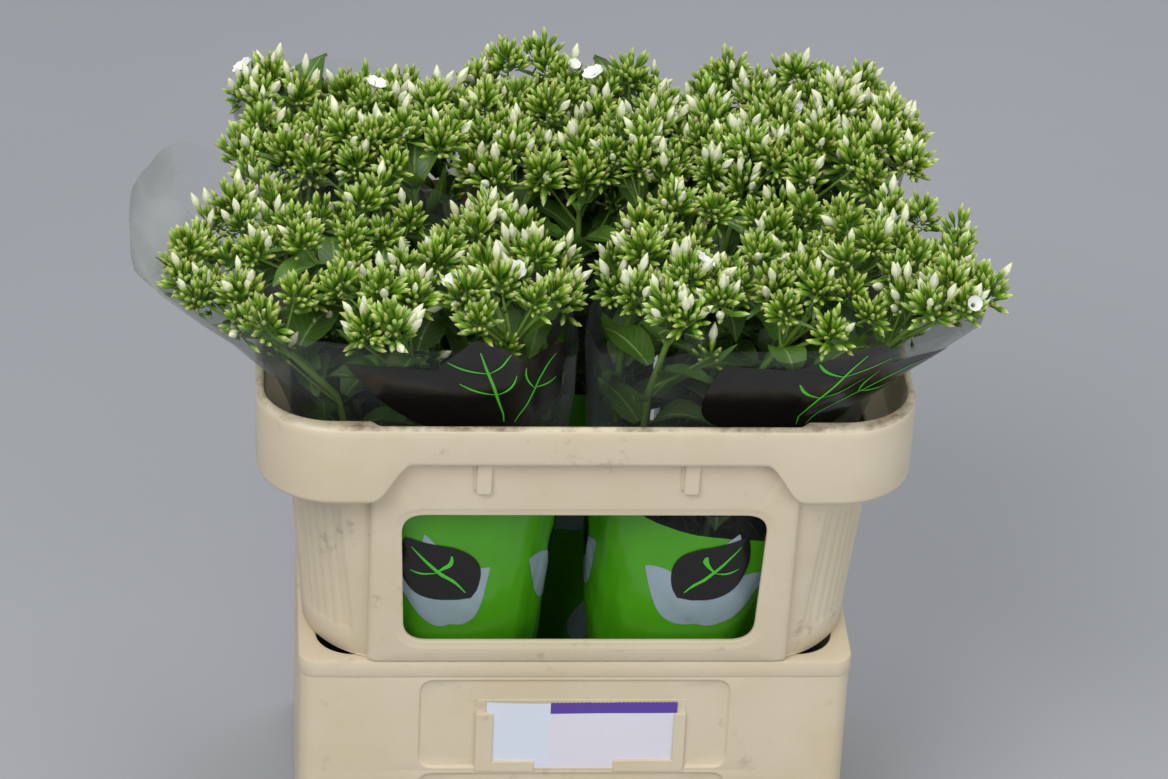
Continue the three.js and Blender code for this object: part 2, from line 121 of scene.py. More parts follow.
class Bag:
    """Vertices, faces, colours and UVs of one piece, gathered part by part."""

    def __init__(self):
        self.vertices = []
        self.faces = []
        self.sizes = []
        self.slots = []
        self.colours = []
        self.uvs = []
        self.count = 0

    def add(self, vertices, faces, colours=None, uvs=None, slot=0):
        """faces is an array with one row per face; all its faces have the same corner count."""
        vertices = np.asarray(vertices, dtype=float).reshape(-1, 3)
        faces = np.asarray(faces, dtype=np.int64)
        self.vertices.append(vertices)
        self.faces.append((faces + self.count).ravel())
        self.sizes.append(np.full(len(faces), faces.shape[1]))
        self.slots.append(np.full(len(faces), slot))
        if colours is None:
            colours = np.ones((len(vertices), 3))
        self.colours.append(np.broadcast_to(colours, (len(vertices), 3)))
        if uvs is None:
            uvs = np.zeros((len(vertices), 2))
        self.uvs.append(uvs)
        self.count += len(vertices)

    def build(self, name, materials, sharp_angle=40):
        mesh = bpy.data.meshes.new(name)
        vertices = np.concatenate(self.vertices) * MM
        corners = np.concatenate(self.faces)
        sizes = np.concatenate(self.sizes)
        mesh.vertices.add(len(vertices))
        mesh.vertices.foreach_set("co", vertices.astype(np.float32).ravel())
        mesh.loops.add(len(corners))
        mesh.loops.foreach_set("vertex_index", corners.astype(np.int32))
        mesh.polygons.add(len(sizes))
        starts = np.concatenate(((0,), np.cumsum(sizes)[:-1]))
        mesh.polygons.foreach_set("loop_start", starts.astype(np.int32))
        for material in materials:
            mesh.materials.append(material)
        mesh.polygons.foreach_set("material_index", np.concatenate(self.slots).astype(np.int32))
        mesh.update(calc_edges=True)
        tone = mesh.color_attributes.new("tone", "FLOAT_COLOR", "POINT")
        colours = np.concatenate(self.colours)
        rgba = np.concatenate((colours, np.ones((len(colours), 1))), axis=1)
        tone.data.foreach_set("color", rgba.astype(np.float32).ravel())
        uv_layer = mesh.uv_layers.new(name="UVMap")
        uv_layer.data.foreach_set("uv", np.concatenate(self.uvs)[corners].astype(np.float32).ravel())
        mesh.validate()
        mesh.shade_smooth()
        mesh.set_sharp_from_angle(angle=math.radians(sharp_angle))
        piece = bpy.data.objects.new(name, mesh)
        bpy.context.scene.collection.objects.link(piece)
        return piece


def ring_faces(rings, count, close_rings=False):
    """Quads between successive rings of count points each."""
    low = np.arange(rings if close_rings else rings - 1)[:, None] * count
    high = (np.arange(1, rings + 1 if close_rings else rings)[:, None] % rings) * count
    here = np.arange(count)[None, :]
    there = (here + 1) % count
    return np.stack((low + here, low + there, high + there, high + here), axis=-1).reshape(-1, 4)


def strip_faces(rows, columns):
    """Quads of an open grid of points, row by row."""
    low = np.arange(rows - 1)[:, None] * columns
    here = np.arange(columns - 1)[None, :]
    corners = (low + here, low + here + 1, low + columns + here + 1, low + columns + here)
    return np.stack(corners, axis=-1).reshape(-1, 4)


def scatter(i, k):
    """A repeatable number from 0 to 1 for each pair of counters, as in the frame."""
    wave = math.sin(i * 12.9898 + k * 78.233) * 43758.5453
    return wave - math.floor(wave)


def unit(vector):
    vector = np.asarray(vector, dtype=float)
    return vector / np.linalg.norm(vector, axis=-1, keepdims=True)


def smooth_step(t):
    t = np.clip(t, 0, 1)
    return t * t * (3 - 2 * t)


def tube(bag, path, radii, sides, colours, slot=0):
    """A round tube along a path of points, with a colour for each point."""
    path = np.asarray(path, dtype=float)
    tangents = unit(np.gradient(path, axis=0))
    side = unit(np.cross(tangents, np.array((0.31, 0.95, 0.05))))
    other = np.cross(tangents, side)
    angles = np.linspace(0, 2 * math.pi, sides, endpoint=False)
    spokes = side[:, None, :] * np.cos(angles)[None, :, None] + other[:, None, :] * np.sin(angles)[None, :, None]
    rings = path[:, None, :] + spokes * np.asarray(radii)[:, None, None]
    along = np.repeat(np.linspace(0, 1, len(path)), sides)
    around = np.tile(angles / (2 * math.pi), len(path))
    bag.add(
        rings.reshape(-1, 3), ring_faces(len(path), sides),
        np.repeat(np.asarray(colours), sides, axis=0), np.stack((around, along), axis=1), slot,
    )


# Bunch layout, as in the frame

def place(bunch, u, v, z):
    """A point of a bunch: u and v run from -1 to 1 across its outline at every height."""
    z = np.asarray(z, dtype=float)
    height = np.minimum(z, LEVELS[-1])
    x = np.interp(height, LEVELS, bunch["x"]) + u * np.interp(height, LEVELS, bunch["half_x"])
    y = np.interp(height, LEVELS, bunch["y"]) + v * np.interp(height, LEVELS, bunch["half_y"])
    return np.stack(np.broadcast_arrays(x, y, z), axis=-1)


def keep_inside(bunch, points, reach):
    """Points that would poke through the film are laid against it instead."""
    height = np.minimum(points[:, 2], LEVELS[-1])
    u = (points[:, 0] - np.interp(height, LEVELS, bunch["x"])) / np.interp(height, LEVELS, bunch["half_x"])
    v = (points[:, 1] - np.interp(height, LEVELS, bunch["y"])) / np.interp(height, LEVELS, bunch["half_y"])
    norm = (np.abs(u) ** OUTLINE_NORM + np.abs(v) ** OUTLINE_NORM) ** (1 / OUTLINE_NORM)
    share = np.minimum(1, reach / np.maximum(norm, 1e-6))
    return place(bunch, u * share, v * share, points[:, 2])


def stem_sites(bunch_index):
    points = [(u, v) for v, across in STEM_ROWS for u in across]
    sites = []
    for i, (u, v) in enumerate(points):
        number = bunch_index * STEMS_PER_BUNCH + i
        stray = STEM_STRAY * (scatter(number, 1) - 0.5), STEM_STRAY * (scatter(number, 2) - 0.5)
        sites.append((u + stray[0], v + stray[1], CROWN_LOWEST + CROWN_RANGE * scatter(number, 80)))
    return sites


# Material helpers

def new_material(name):
    material = bpy.data.materials.new(name)
    material.use_nodes = True
    nodes = material.node_tree.nodes
    return material, nodes, material.node_tree.links, nodes["Principled BSDF"]


def noise(nodes, links, scale, detail=4.0, roughness=0.55, vector=None):
    node = nodes.new("ShaderNodeTexNoise")
    node.inputs["Scale"].default_value = scale
    node.inputs["Detail"].default_value = detail
    node.inputs["Roughness"].default_value = roughness
    if vector is not None:
        links.new(vector, node.inputs["Vector"])
    return node.outputs["Fac"]


def object_coordinates(nodes):
    return nodes.new("ShaderNodeTexCoord").outputs["Object"]


def ramp(nodes, links, value, stops):
    """A smooth scale from value to grey levels; stops are (position, level) pairs."""
    node = nodes.new("ShaderNodeValToRGB")
    elements = node.color_ramp.elements
    while len(elements) < len(stops):
        elements.new(0.5)
    for element, (position, level) in zip(elements, stops):
        element.position = position
        element.color = (level, level, level, 1)
    links.new(value, node.inputs["Fac"])
    return node.outputs["Color"]


def mix(nodes, links, share, first, second, blend="MIX"):
    """Mixes two colours; each may be a socket or a plain colour."""
    node = nodes.new("ShaderNodeMix")
    node.data_type = "RGBA"
    node.blend_type = blend
    sockets = [s for s in node.inputs if s.enabled]
    for socket, value in zip(sockets, (share, first, second)):
        if isinstance(value, bpy.types.NodeSocket):
            links.new(value, socket)
        elif isinstance(value, (int, float)):
            socket.default_value = value
        else:
            socket.default_value = (*value, 1)
    return next(s for s in node.outputs if s.enabled)


def maths(nodes, links, operation, first, second=0.0):
    node = nodes.new("ShaderNodeMath")
    node.operation = operation
    for socket, value in zip(node.inputs, (first, second)):
        if isinstance(value, bpy.types.NodeSocket):
            links.new(value, socket)
        else:
            socket.default_value = value
    return node.outputs["Value"]


def bump(nodes, links, shader, height, distance, strength=1.0):
    node = nodes.new("ShaderNodeBump")
    node.inputs["Strength"].default_value = strength
    node.inputs["Distance"].default_value = distance
    links.new(height, node.inputs["Height"])
    links.new(node.outputs["Normal"], shader.inputs["Normal"])


def tone_colour(nodes):
    node = nodes.new("ShaderNodeVertexColor")
    node.layer_name = "tone"
    return node.outputs["Color"]


# Container shapes

CORNER_STEPS = 14


def outline_stops(stops):
    """Stations anticlockwise round a rounded rectangle: its corners and extra stops on the long sides."""
    stations = []
    quarters = ((1, 1), (-1, 1), (-1, -1), (1, -1))
    for quarter, (sx, sy) in enumerate(quarters):
        for step in range(CORNER_STEPS + 1):
            angle = (quarter + step / CORNER_STEPS) * math.pi / 2
            stations.append(("corner", sx, sy, angle))
        if quarter == 0:
            stations += [("stop", x, 1, math.pi / 2) for x in sorted(stops, reverse=True)]
        if quarter == 2:
            stations += [("stop", x, -1, 3 * math.pi / 2) for x in sorted(stops)]
    return stations


def outline_ring(stations, half_x, half_y, corner, z):
    """Points of a rounded rectangle; its sizes and height may differ from station to station."""
    count = len(stations)
    half_x, half_y, corner, z = (np.broadcast_to(value, count) for value in (half_x, half_y, corner, z))
    points = np.empty((count, 3))
    for i, (kind, first, side, angle) in enumerate(stations):
        if kind == "stop":
            points[i] = (first, side * half_y[i], z[i])
        else:
            points[i] = (
                first * (half_x[i] - corner[i]) + corner[i] * math.cos(angle),
                side * (half_y[i] - corner[i]) + corner[i] * math.sin(angle),
                z[i],
            )
    return points


def sweep(bag, grid, wrap_rows=False, wrap_columns=True):
    """A surface through rows of points, each row a ring or an open line of the same length."""
    rows, columns = grid.shape[:2]
    row_starts = np.arange(rows if wrap_rows else rows - 1)
    column_starts = np.arange(columns if wrap_columns else columns - 1)
    low = row_starts[:, None] * columns
    high = ((row_starts + 1) % rows)[:, None] * columns
    here = column_starts[None, :]
    there = (column_starts[None, :] + 1) % columns
    faces = np.stack((low + here, low + there, high + there, high + here), axis=-1).reshape(-1, 4)
    along, around = np.meshgrid(np.linspace(0, 1, rows), np.linspace(0, 1, columns), indexing="ij")
    uvs = np.stack((around.ravel(), along.ravel()), axis=1)
    bag.add(grid.reshape(-1, 3), faces, uvs=uvs)


def rounded_loop(low_x, high_x, low_z, high_z, radius, corner_steps=8, side_steps=8):
    """A rounded rectangle in X and Z, anticlockwise seen from the front. Ends may slope: each x may be a
    (bottom, top) pair."""
    left_bottom, left_top = low_x if isinstance(low_x, tuple) else (low_x, low_x)
    right_bottom, right_top = high_x if isinstance(high_x, tuple) else (high_x, high_x)
    corners = np.array((
        (left_bottom, low_z), (right_bottom, low_z), (right_top, high_z), (left_top, high_z),
    ), dtype=float)
    points = []
    for i, corner in enumerate(corners):
        before = unit(corners[i - 1] - corner)
        after = unit(corners[(i + 1) % 4] - corner)
        start, end = corner + before * radius, corner + after * radius
        for step in range(corner_steps + 1):
            t = step / corner_steps
            points.append((1 - t) ** 2 * start + 2 * t * (1 - t) * corner + t * t * end)
        far = corners[(i + 1) % 4] - after * radius
        for step in range(1, side_steps):
            points.append(end + (far - end) * step / side_steps)
    return np.array(points)


def on_face(loop, face, side, depth):
    """A loop drawn in X and Z, stood on the front (-1) or back (1) face and sunk by a depth."""
    y = side * (face(loop[:, 1]) - depth)
    x = loop[:, 0] * -side
    return np.stack((x, y, loop[:, 1]), axis=1)


def rounded_block(bag, low_x, high_x, low_z, high_z, face, side, back, proud, radius, edge=0.8):
    """A block that stands proud of a face, with rounded corners and front edges."""
    sections = [(back, 0.0), (-proud + edge, 0.0), (-proud + edge * 0.3, edge * 0.3), (-proud, edge)]
    rows = []
    for depth, inset in sections:
        loop = rounded_loop(
            low_x + inset, high_x - inset, low_z + inset, high_z - inset, max(radius - inset, 0.2), 4, 3,
        )
        rows.append(on_face(loop, face, side, depth))
    grid = np.array(rows)
    sweep(bag, grid)
    centre = grid[-1].mean(axis=0)
    cap = np.concatenate((grid[-1], centre[None, :]))
    count = len(grid[-1])
    here = np.arange(count)
    bag.add(cap, np.stack((here, (here + 1) % count, np.full(count, count)), axis=1))


# Window collar

FLUTES = 6
FLUTE_FROM = math.radians(17)
FLUTE_TO = math.radians(63)
FLUTE_BOTTOM = 262
FLUTE_TOP = 370
FLUTE_DEPTH = 1.6
PANEL_EDGE = 152
SHOULDER_Z = 394
SEAM_Z = BASE_HEIGHT + 0.3


def body_size(z):
    """Half sizes and corner radius of the collar's tapered body at a height."""
    t = (np.asarray(z, dtype=float) - SEAM_Z) / (SHOULDER_Z - SEAM_Z)
    return 198 + 12 * t, 149 + 12 * t, 70 - 6 * t


def window_face(z):
    """How far the window panel's face stands from the middle at a height."""
    return 152 + 20 * (np.asarray(z) - SEAM_Z) / (LIP_MIDDLE_BOTTOM - SEAM_Z)


def lip_bottom(stations):
    """The lip reaches lower at the corners and ends than in the middle of each long side."""
    bottoms = []
    for kind, first, _, _ in stations:
        reach = abs(first) if kind == "stop" else PANEL_EDGE + LIP_SLOPE
        t = smooth_step((reach - LIP_MIDDLE_HALF + 4) / (LIP_SLOPE + 4))
        bottoms.append(LIP_MIDDLE_BOTTOM + (LIP_BOTTOM - LIP_MIDDLE_BOTTOM) * float(t))
    return np.array(bottoms)


def lip_top_width(stations):
    """The top edge is wide where it turns from a long side and narrow in the middle and at the ends."""
    widths = []
    for kind, first, _, angle in stations:
        if kind == "stop":
            share = float(smooth_step((abs(first) - 146) / 8))
        else:
            share = abs(math.sin(angle)) ** 1.5
        widths.append(6.2 + 6.5 * share)
    return np.array(widths)


def add_lip(bag):
    slope = np.linspace(LIP_MIDDLE_HALF - 8, LIP_MIDDLE_HALF + LIP_SLOPE, 14)
    stops = sorted({0.0, 60.0, -60.0, *slope, *(-slope), 146.0, 150.0, 154.0, -146.0, -150.0, -154.0, 165, -165})
    stations = outline_stops(stops)
    low = lip_bottom(stations)
    width = lip_top_width(stations)
    middle = (LIP_MIDDLE_BOTTOM - low) / (LIP_MIDDLE_BOTTOM - LIP_BOTTOM)
    ledge = 15 + 10 * middle
    top = RIM_HEIGHT + 0.5
    profile = [
        (ledge, low + 0.4), (5.0, low), (2.8, low + 0.5), (1.3, low + 2.0), (0.7, low + 4.5),
        (0.0, top - 7), (0.1, top - 3.5), (0.9, top - 1.4), (2.4, top - 0.3), (3.8, top),
        (width - 1.6, top), (width - 0.4, top - 0.5), (width, top - 2), (width + 0.4, low + 8),
        (width + 2, low + 5), (width + 5, low + 3.6), (np.maximum(ledge, width + 6), low + 3.4),
    ]
    rows = [outline_ring(stations, LIP_X - inset, LIP_Y - inset, LIP_CORNER - inset, z) for inset, z in profile]
    sweep(bag, np.array(rows), wrap_rows=True)


def add_end_walls(bag):
    """The tapered wall between the window panels, round each end, with a fluted pocket at each corner."""
    for end in (1, -1):
        quarters = (3, 0) if end > 0 else (1, 2)
        stations = []
        for quarter in quarters:
            sx, sy = ((1, 1), (-1, 1), (-1, -1), (1, -1))[quarter]
            for step in range(5 * CORNER_STEPS + 1):
                angle = (quarter + step / (5 * CORNER_STEPS)) * math.pi / 2
                stations.append(("corner", sx, sy, angle))
        pocket = np.array([flute_relief(angle) for _, _, _, angle in stations])
        rows = []
        for z, share in ((SEAM_Z, 0), (SEAM_Z + 0.8, 0), (FLUTE_BOTTOM - 2, 0), (FLUTE_BOTTOM, 0.4),
                         (FLUTE_BOTTOM + 3, 1), (FLUTE_TOP - 3, 1), (FLUTE_TOP, 0.4), (FLUTE_TOP + 2, 0),
                         (SHOULDER_Z + 2, 0)):
            half_x, half_y, corner = body_size(z)
            inset = pocket * share + (0.6 if z == SEAM_Z else 0.0)
            rows.append(outline_ring(stations, half_x - inset, half_y - inset, corner - inset, z))
        for z in (SHOULDER_Z + 2, SEAM_Z):
            half_x, half_y, corner = body_size(z)
            inset = COLLAR_WALL
            rows.append(outline_ring(stations, half_x - inset, half_y - inset, corner - inset, z))
        sweep(bag, np.array(rows), wrap_rows=True, wrap_columns=False)


def flute_relief(angle):
    """Depth of the pocket with its rounded flutes at an angle round a corner."""
    from_end = math.atan2(abs(math.sin(angle)), abs(math.cos(angle)))
    within = (from_end - FLUTE_FROM) / (FLUTE_TO - FLUTE_FROM)
    if not 0 < within < 1:
        return 0.0
    edge = float(smooth_step(min(within, 1 - within) / 0.06))
    wave = abs(math.sin(math.pi * within * FLUTES))
    return edge * (FLUTE_DEPTH + 0.9 * (0.75 - wave ** 0.7))


def add_window_panel(bag, side):
    """The flat panel in the middle of a long side, with its window and rounded edges."""
    def window(grow):
        return rounded_loop(
            (-126 - grow, -130 - grow), (126 + grow, 130 + grow), WINDOW_BOTTOM - grow, WINDOW_TOP + grow,
            17 + grow, 10, 10,
        )

    def border(inset, depth_radius):
        return rounded_loop(
            -PANEL_EDGE + inset, PANEL_EDGE - inset, SEAM_Z + inset * 0.4, LIP_MIDDLE_BOTTOM + 3,
            depth_radius, 10, 10,
        )

    rows = [
        on_face(border(6, 2), window_face, side, COLLAR_WALL),
        on_face(window(0.0), window_face, side, COLLAR_WALL),
        on_face(window(0.0), window_face, side, 1.4),
        on_face(window(0.2), window_face, side, 0.6),
        on_face(window(0.8), window_face, side, 0.1),
        on_face(window(1.6), window_face, side, 0.0),
        on_face(window(5.0), window_face, side, 0.0),
        on_face(window(6.2), window_face, side, -0.5),
        on_face(window(7.6), window_face, side, -0.5),
        on_face(border(5.0, 6), window_face, side, -0.3),
        on_face(border(2.4, 5), window_face, side, 0.3),
        on_face(border(0.8, 4), window_face, side, 1.6),
        on_face(border(0.0, 3), window_face, side, 4.0),
        on_face(border(-1.0, 3), window_face, side, 14.0),
    ]
    sweep(bag, np.array(rows))


def add_tabs(bag, side):
    """Two short upright ribs under the lip, each in a shallow notch."""
    for x in (-73, 73):
        rounded_block(bag, x - 5.5, x + 5.5, 396, LIP_MIDDLE_BOTTOM + 2, window_face, side, 3, 4.2, 2.5, 1.4)
        rounded_block(bag, x - 7.5, x - 4.8, 399, LIP_MIDDLE_BOTTOM + 2, window_face, side, 3, 1.6, 1.0, 0.6)


def make_collar(material):
    bag = Bag()
    add_lip(bag)
    add_end_walls(bag)
    for side in (-1, 1):
        add_window_panel(bag, side)
        add_tabs(bag, side)
    stations = outline_stops([-100, 0, 100])
    spigot = [
        outline_ring(stations, half_x, half_y, corner, z) for half_x, half_y, corner, z in (
            (186, 138, 70, 228.6), (187, 139, 70, SEAM_Z), (196, 149.5, 68, SEAM_Z + 0.1),
            (196, 149.5, 68, SEAM_Z + COLLAR_WALL), (184, 136, 67, SEAM_Z + COLLAR_WALL), (183, 135, 67, 228.6),
        )
    ]
    sweep(bag, np.array(spigot), wrap_rows=True)
    collar = bag.build("collar_shell", [material], 35)
    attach(collar, "root")
    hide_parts("window_collar")
    return collar


# Base bucket

PLATE_HALF = 158
PLATE_SPLIT = 143.2
HOLDER_LEFT = CARD_MIDDLE - 77
HOLDER_RIGHT = CARD_MIDDLE + 77


def base_face(z):
    return np.full(np.shape(z), float(FOOTPRINT_Y))


def add_base_wall(bag):
    """Outer wall with its proud band, top shelf, inner wall and floor; the long faces' plates are separate."""
    stations = outline_stops([-PLATE_HALF, -PLATE_HALF + 1, 0, PLATE_HALF - 1, PLATE_HALF])
    behind = np.array([2.5 if kind == "stop" and abs(x) < PLATE_HALF else 0.0 for kind, x, _, _ in stations])
    top = BASE_HEIGHT
    band = top - BAND_HEIGHT
    outside = [
        (60, 0.0, 0), (6, 0.0, 0), (2.5, 0.6, 0), (0.6, 2.6, 0), (0, 5, 0), (0, 8, 1), (0, band - 1, 1),
        (0, band, 0), (-0.5, band + 0.4, 0), (-1, band + 1.4, 0), (-1, top - 1.6, 0), (-0.6, top - 0.5, 0),
        (0.3, top, 0),
    ]
    rows = []
    for inset, z, shrinks in outside:
        total = inset + behind * shrinks
        corner = np.maximum(BASE_CORNER - total, 3)
        rows.append(outline_ring(stations, FOOTPRINT_X - total, FOOTPRINT_Y - total, corner, z))
    inside_top = top - SHELF_DEPTH - SHELF_SLOPE
    inside = [
        (SHELF_X - 1.6, SHELF_Y - 1.6, SHELF_CORNER - 2, top),
        (SHELF_X - 0.4, SHELF_Y - 0.4, SHELF_CORNER - 1, top - 0.5),
        (SHELF_X, SHELF_Y, SHELF_CORNER, top - 1.8), (SHELF_X, SHELF_Y, SHELF_CORNER, top - SHELF_DEPTH),
        (BASE_WALL, BASE_WALL, BASE_CORNER - BASE_WALL, inside_top),
        (BASE_WALL, BASE_WALL, BASE_CORNER - BASE_WALL, 10), (BASE_WALL + 2, BASE_WALL + 2, 6, 5),
        (BASE_WALL + 8, BASE_WALL + 8, 3, BASE_WALL), (60, 60, 3, BASE_WALL),
    ]
    for inset_x, inset_y, corner, z in inside:
        rows.append(outline_ring(stations, FOOTPRINT_X - inset_x, FOOTPRINT_Y - inset_y, corner, z))
    sweep(bag, np.array(rows))
    for z in (0.0, float(BASE_WALL)):
        ring = outline_ring(stations, FOOTPRINT_X - 60, FOOTPRINT_Y - 60, 3, z)
        bag.add(np.concatenate((ring, ((0, 0, z),))), np.array([
            (i, (i + 1) % len(ring), len(ring)) for i in range(len(ring))
        ]))


def add_recessed_plate(bag, side, plate_low, plate_high, low, high, deeper):
    """A stretch of a long face with a shallow rounded recess in it."""
    def border():
        return rounded_loop(-PLATE_HALF, PLATE_HALF, plate_low, plate_high, 0.05)

    def recess(inset):
        half = PANEL_HALF_WIDTH - inset
        return rounded_loop(-half, half, low + inset, high - inset, 12)

    rows = [
        on_face(border(), base_face, side, 0.0),
        on_face(recess(-2.2), base_face, side, 0.0),
        on_face(recess(-1.4), base_face, side, -0.25),
        on_face(recess(-0.4), base_face, side, -0.1),
        on_face(recess(0.5), base_face, side, 1.2),
        on_face(recess(1.6), base_face, side, PANEL_DEPTH),
        on_face(recess(9.0), base_face, side, PANEL_DEPTH),
        on_face(recess(10.5), base_face, side, PANEL_DEPTH + deeper),
        on_face(recess(12.0), base_face, side, PANEL_DEPTH + deeper),
    ]
    grid = np.array(rows)
    sweep(bag, grid)
    count = grid.shape[1]
    centre = grid[-1].mean(axis=0)
    here = np.arange(count)
    bag.add(np.concatenate((grid[-1], centre[None, :])),
            np.stack((here, (here + 1) % count, np.full(count, count)), axis=1))


def add_card_holder(bag):
    """A low plateau with lips that hold the card at both sides and below, open in the middle."""
    def floor(z):
        return np.full(np.shape(z), FOOTPRINT_Y - PANEL_DEPTH - 0.1)

    left_foot, right_foot = CARD_MIDDLE - 33, CARD_MIDDLE + 25
    rounded_block(bag, HOLDER_LEFT, HOLDER_RIGHT, 142, 205, floor, -1, 1, 0.5, 1.5, 0.5)
    rounded_block(bag, HOLDER_LEFT + 0.3, HOLDER_LEFT + 13, 143, 194, floor, -1, 0, 3.2, 1.5, 0.9)
    rounded_block(bag, HOLDER_RIGHT - 9, HOLDER_RIGHT - 0.3, 143, 194, floor, -1, 0, 3.2, 1.5, 0.9)
    rounded_block(bag, HOLDER_LEFT, left_foot, 142, 151.5, floor, -1, 0, 3.0, 1.5, 0.9)
    rounded_block(bag, right_foot, HOLDER_RIGHT, 142, 152.5, floor, -1, 0, 3.0, 1.5, 0.9)


def make_base(material):
    bag = Bag()
    add_base_wall(bag)
    for side in (-1, 1):
        add_recessed_plate(bag, side, PLATE_SPLIT, BASE_HEIGHT - BAND_HEIGHT, 145.5, 223, 0.0)
        add_recessed_plate(bag, side, 5, PLATE_SPLIT, 66, 140.5, 1.6)
    add_card_holder(bag)
    base = bag.build("base_shell", [material], 35)
    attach(base, "root")
    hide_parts("base_bucket")
    return base


# Label card

CARD_LEFT = CARD_MIDDLE - 69
CARD_RIGHT = CARD_MIDDLE + 70
CARD_BOTTOM = 143
CARD_TOP = 203.5
CARD_TEETH = 46


def make_card(material):
    """A thin card, bowed between the holder's lips, with a torn perforation along its top edge."""
    columns = 2 * CARD_TEETH + 1
    rows = 14
    across = np.linspace(0, 1, columns)
    up = np.linspace(0, 1, rows)
    s, t = np.meshgrid(across, up)
    x = CARD_LEFT + (CARD_RIGHT - CARD_LEFT) * s
    teeth = 0.55 * (np.arange(columns) % 2)[None, :] * (t == 1)
    sag = 0.9 * np.sin(math.pi * s) * t
    z = CARD_BOTTOM + (CARD_TOP - CARD_BOTTOM) * t - teeth - sag
    bow = 0.7 * np.sin(math.pi * s) + 0.9 * t ** 2 * np.sin(2.3 * math.pi * s + 0.4)
    front = -(FOOTPRINT_Y - PANEL_DEPTH + 0.9) - bow
    bag = Bag()
    uvs = np.stack((s.ravel(), t.ravel()), axis=1)
    for offset in (0.0, 0.35):
        points = np.stack((x, front + offset, z), axis=-1).reshape(-1, 3)
        faces = strip_faces(rows, columns)
        bag.add(points, faces if offset == 0 else faces[:, ::-1], None, uvs)
    card = bag.build("card_sheet", [material], 60)
    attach(card, "root")
    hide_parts("label_card")
    return card


# Plants

STALK_SLOT, LEAF_SLOT, BUD_SLOT, PETAL_SLOT = range(4)
GOLDEN_ANGLE = math.pi * (3 - math.sqrt(5))
BUD_SIDES = 5
DOME_STRETCH = 1.35


def rgb(red, green, blue):
    """A colour given in display levels from 0 to 255, as the linear values that shading uses."""
    levels = np.array((red, green, blue)) / 255
    return np.where(levels <= 0.04045, levels / 12.92, ((levels + 0.055) / 1.055) ** 2.4)


STALK_GREEN = rgb(96, 128, 52)
NECK_GREEN = rgb(118, 152, 62)
LEAF_DARK = rgb(44, 76, 22)
LEAF_LIGHT = rgb(88, 126, 40)


def frames_along(directions, rolls):
    """Three axes for each direction: the last runs along it and the others are turned by a roll."""
    directions = unit(directions)
    upright = np.abs(directions[:, 2:3]) > 0.9
    side = unit(np.cross(np.where(upright, (1.0, 0.0, 0.0), UP), directions))
    other = np.cross(directions, side)
    turn, quarter = np.cos(rolls)[:, None], np.sin(rolls)[:, None]
    return np.stack((side * turn + other * quarter, other * turn - side * quarter, directions), axis=1)


def petal_ring(count, z, radius, turn=0.0):
    angles = (np.arange(count) + turn) * 2 * math.pi / count
    return np.stack((radius * np.cos(angles), radius * np.sin(angles), np.full(count, float(z))), axis=1)


def fan(tip, ring, flip=False):
    """Triangles from one point to each edge of a ring of points."""
    after = np.roll(ring, -1)
    ends = (after, ring) if flip else (ring, after)
    return np.stack((ends[0], ends[1], np.full(len(ring), tip)), axis=1)


def band(low, high):
    """Triangles between two rings of points."""
    low_after, high_after = np.roll(low, -1), np.roll(high, -1)
    return np.concatenate((
        np.stack((low, low_after, high_after), axis=1), np.stack((low, high_after, high), axis=1),
    ))


def green_bud():
    """Points, triangles and tones of a bud: its stalk, a calyx with five teeth and the tip it holds."""
    rings = [
        (petal_ring(BUD_SIDES, 0, 0.7), rgb(78, 120, 12)),
        (petal_ring(BUD_SIDES, 4.2, 1.95), rgb(94, 142, 16)),
        (petal_ring(BUD_SIDES, 5.2, 1.6, 0.5), rgb(134, 176, 36)),
        (petal_ring(BUD_SIDES, 9.6, 1.75), rgb(146, 188, 50)),
        (petal_ring(BUD_SIDES, 4.8, 1.4, 0.5), rgb(166, 198, 70)),
        (petal_ring(BUD_SIDES, 9.8, 1.6, 0.5), rgb(194, 216, 112)),
    ]
    points = np.concatenate([ring for ring, _ in rings] + [[(0, 0, -6.5), (0, 0, 13.2)]])
    tones = [np.tile(tone, (BUD_SIDES, 1)) for _, tone in rings]
    tones = np.concatenate(tones + [[rgb(70, 114, 14), rgb(226, 234, 162)]])
    base, middle, gap, tip, low, high = (np.arange(BUD_SIDES) + BUD_SIDES * i for i in range(6))
    stalk_end, bud_end = 6 * BUD_SIDES, 6 * BUD_SIDES + 1
    faces = np.concatenate((
        fan(stalk_end, base, flip=True),
        np.stack((base, np.roll(base, -1), gap), axis=1),
        np.stack((base, gap, middle), axis=1),
        np.stack((np.roll(base, -1), np.roll(middle, -1), gap), axis=1),
        np.stack((middle, gap, tip), axis=1),
        np.stack((np.roll(gap, 1), middle, tip), axis=1),
        band(low, high),
        fan(bud_end, high),
    ))
    return points, faces, tones


